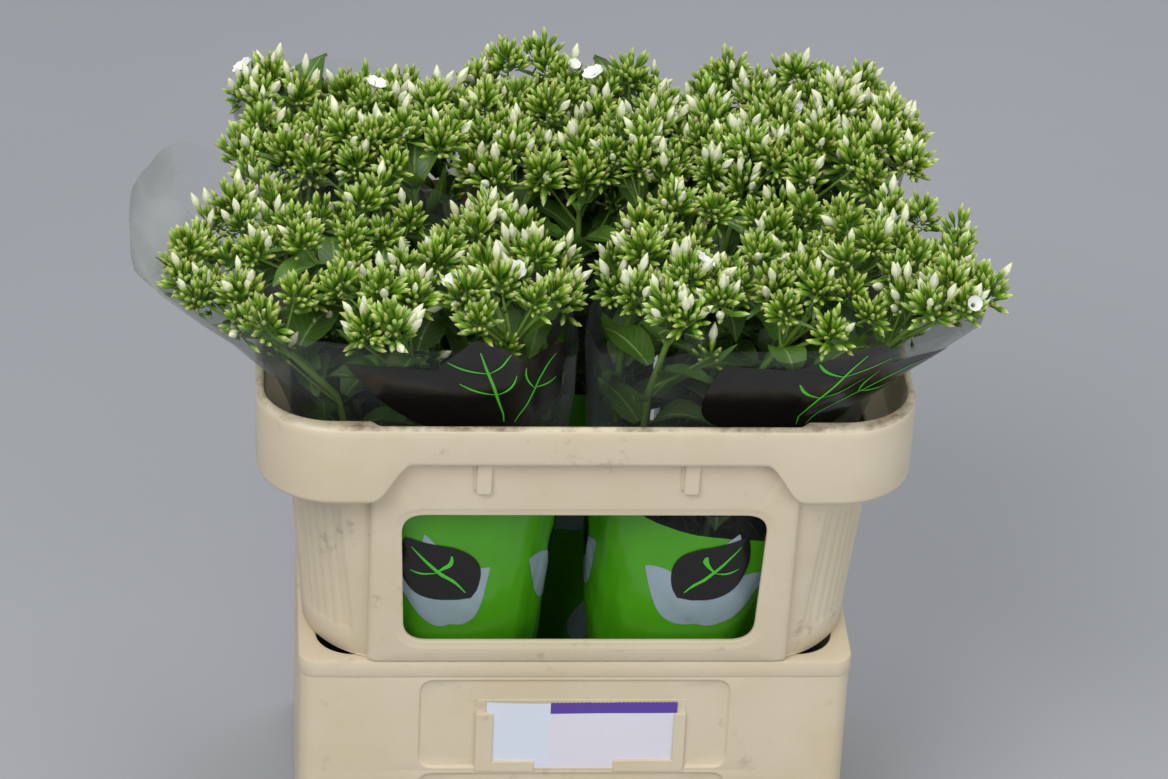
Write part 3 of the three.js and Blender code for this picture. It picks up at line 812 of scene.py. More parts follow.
def white_bud():
    """A ripe bud: a pale tube that swells into a cream drop of five petals, wound round each other."""
    sides = 8
    sections = (
        (1.0, 0.9, rgb(150, 178, 84)), (7.0, 1.1, rgb(184, 202, 126)), (9.4, 2.0, rgb(206, 216, 160)),
        (12.4, 3.0, rgb(226, 232, 190)), (15.6, 2.8, rgb(236, 238, 208)), (19.2, 1.5, rgb(234, 237, 198)),
    )
    rings, tones = [], []
    for level, (z, radius, tone) in enumerate(sections):
        ring = petal_ring(sides, z, radius, 0.36 * level)
        ring[::2, :2] *= 1.07
        rings.append(ring)
        tones.append(np.tile(tone, (sides, 1)))
    points = np.concatenate(rings + [[(0, 0, 22.2)]])
    tones = np.concatenate(tones + [[rgb(220, 226, 180)]])
    indices = [np.arange(sides) + sides * i for i in range(len(sections))]
    faces = [band(low, high) for low, high in zip(indices, indices[1:])]
    faces.append(fan(sides * len(sections), indices[-1]))
    return points, np.concatenate(faces), tones


def open_flower(opening):
    """A white flower on its tube; opening runs from 0, furled, to 1, flat."""
    steps = 6
    along, across = np.meshgrid(np.linspace(0, 1, steps), np.linspace(-1, 1, 5), indexing="ij")
    width = 5.6 * np.interp(along, (0, 0.25, 0.6, 0.85, 1), (0.22, 0.6, 1.0, 0.9, 0.45))
    lean = math.radians(12) + math.radians(72) * opening * smooth_step(along * 2.2)
    run = np.cumsum(np.sin(lean) * 11.5 / steps, axis=0)
    rise = np.cumsum(np.cos(lean) * 11.5 / steps, axis=0)
    reach = 1.2 + run
    y = across * width
    z = 13 + rise - 0.35 * across ** 2 * (1 - opening) * width + 0.9 * opening * np.sin(5 * along + 2 * across)
    x = reach - 0.10 * y ** 2 * (1 - 0.75 * opening)
    petal = np.stack((x, y, z), axis=-1).reshape(-1, 3)
    points, faces, tones = [], [], []
    sheet = strip_faces(steps, 5)[:, ::-1]
    sheet = np.concatenate((sheet[:, :3], sheet[:, (0, 2, 3)]))
    for i in range(5):
        angle = 2 * math.pi * i / 5
        turn = np.array((
            (math.cos(angle), math.sin(angle), 0), (-math.sin(angle), math.cos(angle), 0), (0, 0, 1),
        ))
        points.append(petal @ turn)
        faces.append(sheet + i * len(petal))
        tones.append(np.tile(rgb(238, 239, 234), (len(petal), 1)))
    indices = [np.arange(BUD_SIDES) + 5 * len(petal) + BUD_SIDES * i for i in range(3)]
    for (z, radius), tone in zip(((1, 0.9), (8, 1.1), (14, 1.7)), (
            rgb(150, 185, 96), rgb(200, 216, 160), rgb(222, 228, 196))):
        points.append(petal_ring(BUD_SIDES, z, radius))
        tones.append(np.tile(tone, (BUD_SIDES, 1)))
    faces += [band(indices[0], indices[1]), band(indices[1], indices[2])]
    return np.concatenate(points), np.concatenate(faces), np.concatenate(tones)


GREEN_BUD = green_bud()
WHITE_BUD = white_bud()


def add_copies(bag, shape, feet, directions, scales, shades, rng, slot):
    """Copies of a shape, each on its own foot and axis, a little bent, turned and shaded by itself."""
    points, faces, tones = shape
    count = len(feet)
    frames = frames_along(directions, rng.uniform(0, 2 * math.pi, count))
    local = points[None, :, :] * scales[:, None, :]
    bend = rng.uniform(-0.005, 0.005, count)
    local[:, :, 0] += bend[:, None] * local[:, :, 2] * np.abs(local[:, :, 2])
    placed = feet[:, None, :] + np.einsum("nvk,nkj->nvj", local, frames)
    copied = faces[None, :, :] + (np.arange(count) * len(points))[:, None, None]
    colours = tones[None, :, :] * shades[:, None, :]
    bag.add(placed.reshape(-1, 3), copied.reshape(-1, 3), colours.reshape(-1, 3), slot=slot)


def cluster_axes(count, axis, widest, rng):
    """Directions spread over a cap round an axis, with disorder."""
    step = np.arange(count)
    polar = np.arccos(1 - (1 - math.cos(widest)) * (step + 0.5) / count)
    turn = step * GOLDEN_ANGLE + rng.uniform(0, 6.28) + rng.normal(0, 0.2, count)
    frame_axes = frames_along(np.array([axis]), np.zeros(1))[0]
    flat = np.sin(polar)
    local = np.stack((flat * np.cos(turn), flat * np.sin(turn), np.cos(polar)), axis=1)
    return unit(local @ frame_axes + rng.normal(0, 0.13, (count, 3)))


def add_cluster(bag, centre, axis, count, size, ripe, rng):
    """One dome of tightly set buds, with a few ripe cream ones that stand out of it."""
    middles = cluster_axes(count, axis, math.radians(116), rng)
    directions = unit(0.85 * middles + 0.55 * UP + rng.normal(0, 0.2, (count, 3)))
    ripeness = np.clip(rng.beta(1.6, 2.2, count) + 0.12 * ripe, 0, 1)
    reach = rng.uniform(3.5, 11.5, count) * size
    stretch = np.array((1.0, 1.0, DOME_STRETCH))
    feet = centre + middles * reach[:, None] * stretch
    length = size * (0.66 + 0.4 * ripeness) * rng.uniform(0.88, 1.12, count)
    thick = size * (0.84 + 0.3 * ripeness)
    scales = np.stack((thick, thick, length), axis=1)
    light = rng.uniform(0.66, 1.02, count) * (0.8 + 0.34 * ripeness)
    yellow = rng.normal(0, 0.05, count)
    shades = np.stack((light * (1 + yellow), light, light * (0.7 + 0.5 * ripeness)), axis=1)
    add_copies(bag, GREEN_BUD, feet, directions, scales, shades, rng, BUD_SLOT)
    white = rng.uniform(0, 1, count) < 0.02 + 0.075 * ripe
    if white.any():
        grown = rng.uniform(0.68, 1.05, white.sum())
        sizes = np.stack((grown, grown, grown), axis=1)
        tint = rng.uniform(0.9, 1.06, (white.sum(), 1)) * np.ones(3)
        upward = unit(directions[white] + 0.5 * UP)
        add_copies(bag, WHITE_BUD, feet[white], upward, sizes, tint, rng, PETAL_SLOT)


LEAF_WIDTHS = ((0, 0.06, 0.25, 0.45, 0.7, 0.9, 1), (0.42, 0.75, 1, 0.97, 0.66, 0.24, 0.02))


def add_leaf(bag, bunch, foot, heading, length, width, lift, droop, shade, rng, rows=8, columns=5, reach=0.94):
    """A pointed oval leaf that clasps the stalk: folded along its midrib, curved and a little wavy."""
    t = np.linspace(0, 1, rows)
    climb = lift - droop * t
    out = np.array((math.cos(heading), math.sin(heading), 0.0))
    level = np.array((-out[1], out[0], 0.0))
    step = length / (rows - 1)
    spine = foot + np.cumsum(np.cos(climb) * step)[:, None] * out + np.cumsum(np.sin(climb) * step)[:, None] * UP
    spine += level * (rng.normal(0, 0.07) * length * t ** 2)[:, None]
    normal = -np.sin(climb)[:, None] * out + np.cos(climb)[:, None] * UP
    s = np.linspace(-1, 1, columns)
    half = width / 2 * np.interp(t, *LEAF_WIDTHS)
    fold = rng.uniform(0.12, 0.42)
    wave = rng.uniform(0.02, 0.09) * width
    phase = rng.uniform(0, 6.28)
    sideways = half[:, None] * s[None, :]
    lifted = fold * half[:, None] * np.abs(s)[None, :] ** 1.4
    lifted = lifted + wave * np.sin(9 * t + phase)[:, None] * (s ** 2)[None, :] * np.sign(s)[None, :]
    points = spine[:, None, :] + level * sideways[:, :, None] + normal[:, None, :] * lifted[:, :, None]
    points = keep_inside(bunch, points.reshape(-1, 3), reach)
    v, u = np.meshgrid(t, (s + 1) / 2, indexing="ij")
    colours = np.broadcast_to(shade, (rows * columns, 3))
    bag.add(points, strip_faces(rows, columns), colours, np.stack((u.ravel(), v.ravel()), axis=1), LEAF_SLOT)


def stem_clusters(bunch, u, v, crown, rng):
    """Centre, axis, bud count, size and branch height of each ball of buds on a stem."""
    forward = max(0.0, -v)
    top = place(bunch, u, v, crown) + (0, 16 * forward, 8 * forward)
    lean = np.array((u * 0.22, v * 0.22, 1.0))
    clusters = [(top + lean * -8 + (0, 0, 6), lean, 43, 1.0, crown - 26)]
    spread_x = min(0.34 * bunch["half_x"][-1], 33)
    reach = 0.9 if bunch["y"][-1] < 0 else 0.98
    spread_y = 0.285 * bunch["half_y"][-1]
    start = rng.uniform(0, 6.28)
    for i in range(6):
        angle = start + i * math.pi / 3 + rng.normal(0, 0.22)
        far = rng.uniform(0.72, 1.18)
        offset = np.array((math.cos(angle) * spread_x * far, math.sin(angle) * spread_y * far, 0.0))
        drop = (rng.uniform(4, 26) + 9 * max(0.0, np.dot(unit(offset), (u, v, 0)))) * (1 - 0.5 * forward)
        centre = top + offset - UP * drop
        centre = keep_inside(bunch, centre[None, :], reach)[0]
        axis = unit(offset) * 0.85 + UP + lean * 0.2
        clusters.append((centre, axis, rng.integers(30, 44), rng.uniform(0.86, 1.06), crown - drop - 34))
    angle = start + rng.uniform(0, 6.28)
    offset = np.array((math.cos(angle), math.sin(angle), 0.0)) * rng.uniform(16, 28)
    drop = rng.uniform(38, 66)
    centre = keep_inside(bunch, (top + offset - UP * drop)[None, :], 0.84)[0]
    clusters.append((centre, unit(offset) * 0.9 + UP, rng.integers(12, 20), rng.uniform(0.6, 0.76), crown - drop - 38))
    return clusters


def add_stalk(bag, bunch, u, v, crown):
    """The main stalk, thinning steadily from its foot to its top."""
    heights = np.concatenate((
        np.linspace(7, 240, 8), np.linspace(262, 456, 10)[:-1], np.linspace(456, crown - 14, 8),
    ))
    path = place(bunch, u, v, heights)
    radii = np.interp(heights, (7, 456, crown), (3.5, 2.7, 1.5))
    share = smooth_step((heights - 300) / 240)[:, None]
    tube(bag, path, radii, 8, STALK_GREEN * (1 - share) + NECK_GREEN * share, STALK_SLOT)


def add_branch(bag, start, end, radius):
    """A side branch that leaves the stalk steeply and bends out to its ball of buds."""
    reach = end - start
    corner = start + UP * reach[2] * 0.3 + reach * (0.45, 0.45, 0.1)
    t = np.linspace(0, 1, 5)[:, None]
    path = (1 - t) ** 2 * start + 2 * t * (1 - t) * corner + t * t * end
    tube(bag, path, np.linspace(radius, radius * 0.6, 5), 5, np.tile(NECK_GREEN, (5, 1)), STALK_SLOT)


def leaf_shade(rng, young):
    """Upper leaves are lighter and yellower than old ones."""
    share = np.clip(0.15 + 0.55 * young + rng.normal(0, 0.16), 0, 1)
    return (LEAF_DARK * (1 - share) + LEAF_LIGHT * share) * rng.uniform(0.85, 1.12)


def add_stem_leaves(bag, bunch, u, v, crown, rng):
    turn = rng.uniform(0, math.pi)
    height = 286 + rng.uniform(0, 22)
    pair = 0
    while height < crown - 34:
        young = (height - 300) / 240
        for side in range(2):
            heading = turn + math.pi * side + (math.pi / 2) * (pair % 2) + rng.normal(0, 0.2)
            length = rng.uniform(52, 74) * (1 - 0.14 * max(young, 0))
            width = length * rng.uniform(0.4, 0.52)
            lift = math.radians(rng.uniform(34, 66))
            droop = math.radians(rng.uniform(40, 110))
            foot = place(bunch, u, v, height)
            add_leaf(bag, bunch, foot, heading, length, width, lift, droop, leaf_shade(rng, young), rng)
        height += rng.uniform(22, 31)
        pair += 1


def add_bracts(bag, bunch, centre, count, rng):
    """Small narrow leaves under a ball of buds."""
    for _ in range(count):
        heading = rng.uniform(0, 2 * math.pi)
        length = rng.uniform(13, 24)
        add_leaf(
            bag, bunch, centre - UP * 9, heading, length, length * 0.3, math.radians(rng.uniform(10, 50)),
            math.radians(rng.uniform(0, 50)), leaf_shade(rng, 0.85), rng, rows=5, columns=3, reach=0.98,
        )


def add_flowers(bag, clusters, rng):
    """Now and then a ripe bud has begun to open."""
    for centre, axis, count, _, _ in clusters[:7]:
        if rng.uniform() < 0.045:
            shape = open_flower(rng.uniform(0.15, 0.95))
            direction = unit(unit(axis) + rng.normal(0, 0.35, 3) + (0, -0.35, 0.1))[None, :]
            size = np.full((1, 3), rng.uniform(0.8, 0.95))
            foot = centre[None, :] + direction * 5
            add_copies(bag, shape, foot, direction, size, np.ones((1, 3)), rng, PETAL_SLOT)


def make_stem(bunch_index, i, site, materials):
    bunch = BUNCHES[bunch_index]
    u, v, crown = site
    number = bunch_index * STEMS_PER_BUNCH + i
    rng = np.random.default_rng(700 + number)
    bag = Bag()
    add_stalk(bag, bunch, u, v, crown)
    add_stem_leaves(bag, bunch, u, v, crown, rng)
    clusters = stem_clusters(bunch, u, v, crown, rng)
    ripe = rng.uniform(0, 1) ** 1.5
    for centre, axis, count, size, branch_z in clusters:
        add_branch(bag, place(bunch, u, v, branch_z), centre, 1.3)
        add_bracts(bag, bunch, centre, 2, rng)
        add_cluster(bag, centre, axis, count, size, ripe, rng)
    add_flowers(bag, clusters, rng)
    label = f"{bunch['name']}_{i + 1:02d}"
    stem = bag.build(f"phlox_{label}", materials, 60)
    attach(stem, "root")
    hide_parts(f"stem_{label}")
    return stem


# Sleeves and their print

SLEEVE_BOTTOM = 48
SLEEVE_COLUMNS = 120
FILM_OFFSET = 0.4
PRINT_STEP = 0.35
BAND_LAYER, SHAPE_LAYER, DARK_LAYER, VEIN_LAYER = 1, 2, 3, 4
PRINT_GREEN = rgb(76, 158, 22)
PRINT_GREY = rgb(150, 168, 178)
PRINT_BLACK = rgb(16, 14, 13)
PRINT_VEIN = rgb(78, 196, 48)
# Each bunch's printed field: the mean height of its top edge, how far that swings and where it crests
BAND_TOPS = ((362, 8, -1.9), (350, 16, -2.5), (364, 8, -1.0), (366, 6, -2.0), (362, 9, -1.4))
TOP_PRINT_ANGLES = (-1.2, -1.3, 1.6, 1.5, 1.5)
PRINTED_GROUPS = 4


def film_top(bunch, angles):
    """Height of the film's cut edge at each angle, smooth between its eight given heights."""
    given = np.array(bunch["film_top"] + bunch["film_top"][:1], dtype=float)
    turns = (angles / (math.pi / 4)) % 8
    low = np.floor(turns).astype(int)
    t = smooth_step(turns - low)
    wave = 2.5 * np.sin(5 * angles + given[0]) + 1.5 * np.sin(11 * angles + given[2])
    return given[low] * (1 - t) + given[low + 1] * t + wave


def film_points(bunch_index, angles, heights, layer=0.0):
    """Points of the wrinkled film, or of a print layer that lies on it, at any angles and heights."""
    bunch = BUNCHES[bunch_index]
    c, s = np.cos(angles), np.sin(angles)
    u = np.sign(c) * np.abs(c) ** OUTLINE_POWER
    v = np.sign(s) * np.abs(s) ** OUTLINE_POWER
    base = place(bunch, u, v, heights)
    middle = place(bunch, 0 * u, 0 * v, heights)
    outward = unit(base - middle)
    seed = 1.7 * bunch_index
    loose = 0.5 + 0.5 * smooth_step((heights - 380) / 160)
    pleats = 1.5 * np.sin(7 * angles + 0.009 * heights + seed) + 0.9 * np.sin(13 * angles - 0.021 * heights + 2 * seed)
    creases = 0.7 * np.abs(np.sin(9 * angles + 0.05 * heights + seed)) + 0.5 * np.sin(0.12 * heights + 5 * angles)
    fine = 0.28 * np.sin(31 * angles + 0.07 * heights) * np.sin(0.16 * heights - 4 * angles + seed)
    flare = 6 * smooth_step((heights - 500) / 70) * (0.4 + 0.6 * np.sin(2 * angles + seed) ** 2)
    lift = loose * (pleats + creases) + fine + flare + FILM_OFFSET + PRINT_STEP * layer
    return base + outward * lift[..., None]


def film_grid(bag, bunch_index, angles, heights, layer, tone, slot=0, wrap=False):
    """A patch of the film or of a print: angles and heights are grids of the same shape."""
    points = film_points(bunch_index, angles, heights, layer)
    rows, columns = angles.shape
    uvs = np.stack((angles / (2 * math.pi), (heights - SLEEVE_BOTTOM) / 512), axis=-1).reshape(-1, 2)
    colours = np.tile(tone, (rows * columns, 1))
    faces = ring_faces(rows, columns) if wrap else strip_faces(rows, columns)
    bag.add(points.reshape(-1, 3), faces, colours, uvs, slot)


def make_film(bunch_index, material):
    bunch = BUNCHES[bunch_index]
    turns = np.linspace(0, 2 * math.pi, SLEEVE_COLUMNS, endpoint=False)
    share = np.linspace(0, 1, 46)
    angles, rise = np.meshgrid(turns, share)
    top = film_top(bunch, angles)
    bag = Bag()
    film_grid(bag, bunch_index, angles, SLEEVE_BOTTOM + (top - SLEEVE_BOTTOM) * rise, 0, rgb(255, 255, 255), wrap=True)
    film = bag.build(f"film_{bunch['name']}", [material], 180)
    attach(film, "root")
    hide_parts(f"sleeve_{bunch['name']}")
    return film


def film_width(bunch_index, angle, height):
    """Millimetres of film that one radian spans at one angle and height."""
    step = 0.02
    ends = film_points(bunch_index, np.array((angle - step, angle + step)), np.full(2, float(height)))
    return float(np.linalg.norm(ends[1] - ends[0])) / (2 * step)


def print_patch(bag, bunch_index, middle, spine, half_widths, layer, tone, slot=0, across=9):
    """A printed shape: a spine drawn in millimetres round and up from its middle, with a width all along it.

    middle is the (angle, height) that the spine's points are measured from."""
    spine = np.asarray(spine, dtype=float)
    tangent = unit(np.gradient(spine, axis=0))
    side = np.stack((-tangent[:, 1], tangent[:, 0]), axis=1)
    s = np.linspace(-1, 1, across)
    flat = spine[:, None, :] + side[:, None, :] * (np.asarray(half_widths)[:, None] * s[None, :])[:, :, None]
    scale = film_width(bunch_index, middle[0], middle[1])
    angles = middle[0] + flat[:, :, 0] / scale
    heights = middle[1] + flat[:, :, 1]
    film_grid(bag, bunch_index, angles[:, ::-1], heights[:, ::-1], layer, tone, slot)


def leaf_spine(length, lean, curve, steps=22):
    """The midrib of a printed leaf, and how far along it each point lies."""
    t = np.linspace(0, 1, steps)
    heading = lean + curve * (t - 0.5)
    step = length / (steps - 1)
    points = np.stack((np.cumsum(np.sin(heading)) * step, np.cumsum(np.cos(heading)) * step), axis=1)
    return points - points[0], t


def pointed_leaf(bag, bunch_index, middle, length, width, lean, curve, layer, tone, slot=0):
    spine, t = leaf_spine(length, lean, curve)
    widths = width / 2 * np.sin(math.pi * t ** 0.8) ** 0.85 + 0.05
    print_patch(bag, bunch_index, middle, spine, widths, layer, tone, slot)


def drawn_line(bag, bunch_index, middle, start, end, bow, thick, layer, tone, slot=0):
    """A brush line that swells in the middle and tapers to both ends."""
    t = np.linspace(0, 1, 12)[:, None]
    start, end = np.array(start, dtype=float), np.array(end, dtype=float)
    normal = np.array((-(end - start)[1], (end - start)[0]))
    spine = start + (end - start) * t + normal * bow * np.sin(math.pi * t)
    widths = thick * (0.35 + 0.65 * np.sin(math.pi * t[:, 0]))
    print_patch(bag, bunch_index, middle, spine, widths, layer, tone, slot, across=3)


def veined_leaf(bag, bunch_index, middle, length, width, lean, curve, shares=(0.22, 0.4, 0.58), thick=0.9):
    """A black pointed leaf with bright veins drawn in it, each pair at one share of its length."""
    pointed_leaf(bag, bunch_index, middle, length, width, lean, curve, DARK_LAYER, PRINT_BLACK)
    spine, _ = leaf_spine(length, lean, curve)
    ahead = unit(spine[-1] - spine[0])
    aside = np.array((-ahead[1], ahead[0]))
    for share in shares:
        start = spine[int(share * (len(spine) - 1))]
        for side in (-1, 1):
            end = start + ahead * length * 0.17 + aside * side * width * 0.27
            drawn_line(bag, bunch_index, middle, start, end, 0.12 * side, thick, VEIN_LAYER, PRINT_VEIN)
    if shares:
        drawn_line(bag, bunch_index, middle, spine[2], spine[-4], 0.0, thick * 1.2, VEIN_LAYER, PRINT_VEIN)


def make_print(bunch_index, material):
    """The sleeve's print: a green field below with leaves on it, and a dark leaf group near the top."""
    bag = Bag()
    rng = np.random.default_rng(40 + bunch_index)
    turns = np.linspace(0, 2 * math.pi, SLEEVE_COLUMNS, endpoint=False)
    angles, rise = np.meshgrid(turns, np.linspace(0, 1, 40))
    mean, swing, crest = BAND_TOPS[bunch_index]
    top = mean + swing * np.cos(2 * (angles - crest)) + 2 * np.sin(5 * angles + bunch_index)
    film_grid(bag, bunch_index, angles, SLEEVE_BOTTOM + 2 + (top - SLEEVE_BOTTOM - 2) * rise, BAND_LAYER,
              PRINT_GREEN, wrap=True)
    for i in range(PRINTED_GROUPS):
        angle = -1.62 + 2 * math.pi * (i + 0.06 * rng.uniform(-1, 1)) / PRINTED_GROUPS
        height = rng.uniform(254, 262)
        side = (-1) ** (i + bunch_index)
        for lean, size in ((-1.0, 0.95), (-0.15, 1.0), (0.8, 0.9)):
            pointed_leaf(bag, bunch_index, (angle, height), 88 * size, 40 * size, side * lean,
                         0.5 * side * lean, SHAPE_LAYER, PRINT_GREY)
        veined_leaf(bag, bunch_index, (angle + 0.12 * side, height + 26), 66, 48, -0.5 * side, 0.3 * side, (0.45,))
        pointed_leaf(bag, bunch_index, (angle + 0.12, 150), rng.uniform(60, 84), 28, -side * 0.6, 0.4,
                     SHAPE_LAYER, PRINT_GREY)
    angle = TOP_PRINT_ANGLES[bunch_index]
    for turn, size, shares in ((-0.62, 0.9, ()), (0.6, 0.95, (0.5,)), (-0.02, 1.0, (0.42, 0.66))):
        veined_leaf(bag, bunch_index, (angle + 0.05 * turn, 440), 96 * size, 62 * size,
                    turn + rng.normal(0, 0.05), 0.4 * turn, shares, 0.75)
    sheet = bag.build(f"print_{BUNCHES[bunch_index]['name']}", [material], 180)
    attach(sheet, "root")
    return sheet


# Materials

RIM_GRIME_Z = RIM_HEIGHT - 1.2


def plastic_material(name, wear):
    """Cream moulded plastic: faint mottling, scuffs, grime in patches and a fine surface grain."""
    material, nodes, links, shader = new_material(name)
    where = object_coordinates(nodes)
    clean, warm, grime = rgb(219, 206, 180), rgb(212, 196, 165), rgb(128, 108, 82)
    mottle = ramp(nodes, links, noise(nodes, links, 9, 5, 0.6, where), ((0.35, 0.0), (0.7, 1.0)))
    colour = mix(nodes, links, mottle, clean, warm)
    patches = ramp(nodes, links, noise(nodes, links, 26, 6, 0.7, where), ((0.60, 0.0), (0.78, wear)))
    colour = mix(nodes, links, patches, colour, grime)
    specks = ramp(nodes, links, noise(nodes, links, 240, 3, 0.6, where), ((0.70, 0.0), (0.76, 0.5 * wear)))
    colour = mix(nodes, links, specks, colour, grime)
    split = nodes.new("ShaderNodeSeparateXYZ")
    links.new(where, split.inputs["Vector"])
    rim = maths(nodes, links, "GREATER_THAN", split.outputs["Z"], RIM_GRIME_Z * MM)
    dirt = ramp(nodes, links, noise(nodes, links, 38, 6, 0.7, where), ((0.46, 0.0), (0.66, 0.9)))
    colour = mix(nodes, links, maths(nodes, links, "MULTIPLY", rim, dirt), colour, grime)
    links.new(colour, shader.inputs["Base Color"])
    gloss = ramp(nodes, links, noise(nodes, links, 60, 5, 0.6, where), ((0.3, 0.38), (0.75, 0.55)))
    links.new(gloss, shader.inputs["Roughness"])
    shader.inputs["Specular IOR Level"].default_value = 0.42
    bump(nodes, links, shader, noise(nodes, links, 500, 3, 0.6, where), 0.0001, 0.35)
    return material


def card_material():
    """White card stock with a lilac cast, a paler left third and a plain purple band along its top."""
    material, nodes, links, shader = new_material("card_stock")
    uv = nodes.new("ShaderNodeTexCoord").outputs["UV"]
    split = nodes.new("ShaderNodeSeparateXYZ")
    links.new(uv, split.inputs["Vector"])
    right = maths(nodes, links, "GREATER_THAN", split.outputs["X"], 0.335)
    high = maths(nodes, links, "GREATER_THAN", split.outputs["Y"], 0.84)
    banded = maths(nodes, links, "MULTIPLY", right, high)
    colour = mix(nodes, links, right, rgb(222, 228, 240), rgb(228, 224, 234))
    fibres = ramp(nodes, links, noise(nodes, links, 900, 4, 0.7, object_coordinates(nodes)), ((0.4, 0.0), (0.8, 0.16)))
    colour = mix(nodes, links, fibres, colour, rgb(186, 184, 196))
    colour = mix(nodes, links, banded, colour, rgb(92, 64, 160))
    links.new(colour, shader.inputs["Base Color"])
    shader.inputs["Roughness"].default_value = 0.55
    bump(nodes, links, shader, noise(nodes, links, 1500, 3, 0.6, object_coordinates(nodes)), 0.00005, 0.4)
    return material


def grown_material(name, roughness, speck_scale, speck_share, grain, specular=0.4):
    """A plant surface: its own tone, broken up by fine lighter and darker specks."""
    material, nodes, links, shader = new_material(name)
    where = object_coordinates(nodes)
    tone = tone_colour(nodes)
    specks = ramp(nodes, links, noise(nodes, links, speck_scale, 4, 0.65, where), ((0.35, 0.0), (0.7, speck_share)))
    shaded = mix(nodes, links, specks, tone, (0.36, 0.42, 0.2), "MULTIPLY")
    links.new(shaded, shader.inputs["Base Color"])
    shader.inputs["Roughness"].default_value = roughness
    shader.inputs["Specular IOR Level"].default_value = specular
    bump(nodes, links, shader, noise(nodes, links, grain, 3, 0.6, where), 0.0003, 0.5)
    return material


def leaf_material():
    """A leaf: a pale midrib, arched side veins and slightly quilted flesh between them."""
    material, nodes, links, shader = new_material("leaf_flesh")
    where = object_coordinates(nodes)
    split = nodes.new("ShaderNodeSeparateXYZ")
    links.new(nodes.new("ShaderNodeTexCoord").outputs["UV"], split.inputs["Vector"])
    aside = maths(nodes, links, "ABSOLUTE", maths(nodes, links, "SUBTRACT", split.outputs["X"], 0.5))
    midrib = ramp(nodes, links, aside, ((0.0, 0.8), (0.045, 0.0)))
    along = maths(nodes, links, "SUBTRACT", split.outputs["Y"], maths(nodes, links, "MULTIPLY", aside, 0.55))
    waves = maths(nodes, links, "SINE", maths(nodes, links, "MULTIPLY", along, 56.0))
    veins = ramp(nodes, links, waves, ((0.86, 0.0), (1.0, 0.42)))
    tone = tone_colour(nodes)
    blotches = ramp(nodes, links, noise(nodes, links, 70, 4, 0.6, where), ((0.35, 0.0), (0.75, 0.5)))
    colour = mix(nodes, links, blotches, tone, (0.55, 0.62, 0.4), "MULTIPLY")
    colour = mix(nodes, links, veins, colour, rgb(104, 140, 66))
    colour = mix(nodes, links, midrib, colour, rgb(150, 178, 104))
    links.new(colour, shader.inputs["Base Color"])
    shader.inputs["Roughness"].default_value = 0.42
    shader.inputs["Specular IOR Level"].default_value = 0.45
    quilt = maths(nodes, links, "SUBTRACT", 1.0, maths(nodes, links, "MULTIPLY", veins, 1.0))
    bump(nodes, links, shader, quilt, 0.0005, 0.6)
    return material


def film_material():
    """Clear sleeve film: see-through, with a faint haze and a gloss that grows at grazing angles."""
    material, nodes, links, shader = new_material("clear_film")
    output = nodes["Material Output"]
    shader.inputs["Base Color"].default_value = (0.42, 0.45, 0.46, 1)
    shader.inputs["Roughness"].default_value = 0.16
    shader.inputs["Specular IOR Level"].default_value = 0.8
    where = object_coordinates(nodes)
    crumple = noise(nodes, links, 26, 4, 0.55, where)
    bump(nodes, links, shader, crumple, 0.003, 0.5)
    fresnel = nodes.new("ShaderNodeFresnel")
    fresnel.inputs["IOR"].default_value = 1.45
    haze = ramp(nodes, links, noise(nodes, links, 14, 4, 0.6, where), ((0.35, 0.0), (0.8, 0.06)))
    share = maths(nodes, links, "ADD", maths(nodes, links, "MULTIPLY", fresnel.outputs["Fac"], 0.6), haze)
    clear = nodes.new("ShaderNodeBsdfTransparent")
    clear.inputs["Color"].default_value = (0.97, 0.98, 0.97, 1)
    both = nodes.new("ShaderNodeMixShader")
    links.new(share, both.inputs["Fac"])
    links.new(clear.outputs["BSDF"], both.inputs[1])
    links.new(shader.outputs["BSDF"], both.inputs[2])
    links.new(both.outputs["Shader"], output.inputs["Surface"])
    return material


def print_material():
    """Ink on film: strong flat tones, with thin streaks where the ink is lighter, and the film's gloss."""
    material, nodes, links, shader = new_material("sleeve_ink")
    where = object_coordinates(nodes)
    tone = tone_colour(nodes)
    thin = ramp(nodes, links, noise(nodes, links, 35, 5, 0.65, where), ((0.35, 0.0), (0.8, 0.28)))
    links.new(mix(nodes, links, thin, tone, (0.62, 0.7, 0.55), "MULTIPLY"), shader.inputs["Base Color"])
    shader.inputs["Roughness"].default_value = 0.22
    shader.inputs["Specular IOR Level"].default_value = 0.5
    bump(nodes, links, shader, noise(nodes, links, 26, 4, 0.55, where), 0.002, 0.4)
    return material


def floor_material():
    material, nodes, links, shader = new_material("studio_floor")
    where = object_coordinates(nodes)
    tint = ramp(nodes, links, noise(nodes, links, 0.8, 4, 0.5, where), ((0.3, 0.0), (0.7, 1.0)))
    links.new(mix(nodes, links, tint, rgb(158, 160, 164), rgb(166, 168, 172)), shader.inputs["Base Color"])
    shader.inputs["Roughness"].default_value = 0.85
    return material


# Assembly

collar_plastic = plastic_material("collar_cream", 0.75)
base_plastic = plastic_material("base_cream", 0.55)
make_collar(collar_plastic)
make_base(base_plastic)
make_card(card_material())

plant_materials = [
    grown_material("stalk_skin", 0.5, 120, 0.35, 400),
    leaf_material(),
    grown_material("bud_skin", 0.5, 300, 0.25, 900),
    grown_material("petal_skin", 0.6, 160, 0.08, 700, 0.3),
]
film = film_material()
ink = print_material()
for bunch_index in range(len(BUNCHES)):
    for i, site in enumerate(stem_sites(bunch_index)):
        make_stem(bunch_index, i, site, plant_materials)
    make_film(bunch_index, film)
    make_print(bunch_index, ink)


# Floor, lights and camera

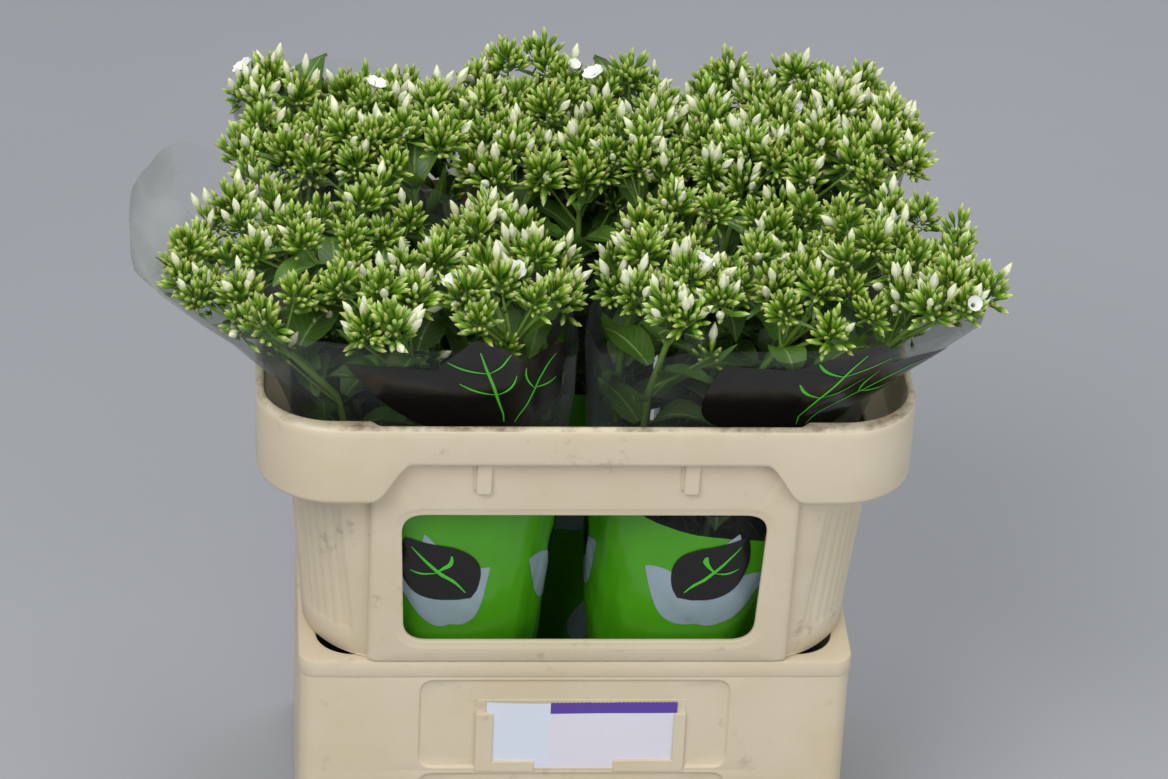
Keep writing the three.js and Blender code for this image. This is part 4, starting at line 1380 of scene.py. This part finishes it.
def add_floor():
    half = 9.0
    mesh = bpy.data.meshes.new("floor")
    mesh.from_pydata([(-half, -half, 0), (half, -half, 0), (half, half, 0), (-half, half, 0)], [], [(0, 1, 2, 3)])
    mesh.materials.append(floor_material())
    floor = bpy.data.objects.new("floor", mesh)
    bpy.context.scene.collection.objects.link(floor)


def add_area_light(name, place_at, aim_at, size, power):
    data = bpy.data.lights.new(name, "AREA")
    data.shape = "RECTANGLE"
    data.size, data.size_y = size
    data.energy = power
    lamp = bpy.data.objects.new(name, data)
    lamp.location = place_at
    direction = Vector(aim_at) - Vector(place_at)
    lamp.rotation_mode = "QUATERNION"
    lamp.rotation_quaternion = direction.to_track_quat("-Z", "Y")
    bpy.context.scene.collection.objects.link(lamp)
    return lamp


def add_world(strength):
    world = bpy.data.worlds.new("studio")
    bpy.context.scene.world = world
    world.use_nodes = True
    background = world.node_tree.nodes["Background"]
    background.inputs["Color"].default_value = (0.92, 0.95, 1.0, 1)
    background.inputs["Strength"].default_value = strength


def add_camera():
    """The camera that was fitted to the container's outline in the photograph."""
    turn, climb = CAMERA_TURN, CAMERA_ELEVATION
    back = Vector((
        math.sin(turn) * math.cos(climb), -math.cos(turn) * math.cos(climb), math.sin(climb),
    ))
    right = (-back).cross(Vector((0, 0, 1))).normalized()
    above = right.cross(-back)
    across = right * math.cos(CAMERA_ROLL) + above * math.sin(CAMERA_ROLL)
    upward = above * math.cos(CAMERA_ROLL) - right * math.sin(CAMERA_ROLL)
    data = bpy.data.cameras.new("camera")
    data.sensor_width = SENSOR_WIDTH
    data.lens = FOCAL_PIXELS / PHOTO_WIDTH * SENSOR_WIDTH
    camera = bpy.data.objects.new("camera", data)
    rotation = Matrix((across, upward, back)).transposed()
    location = (Vector(CAMERA_TARGET) + back * CAMERA_DISTANCE) * MM
    camera.matrix_world = Matrix.Translation(location) @ rotation.to_4x4()
    bpy.context.scene.collection.objects.link(camera)
    bpy.context.scene.camera = camera


add_floor()
add_world(0.46)
add_area_light("key", (-1.2, -2.2, 3.0), (0, 0, 0.4), (1.6, 1.6), 68)
add_area_light("fill", (1.8, -2.6, 1.6), (0, 0, 0.3), (2.0, 1.6), 25)
add_area_light("top", (0.2, 0.8, 3.2), (0, 0, 0.5), (2.0, 2.0), 34)
add_camera()
bpy.context.scene.view_settings.view_transform = "Standard"
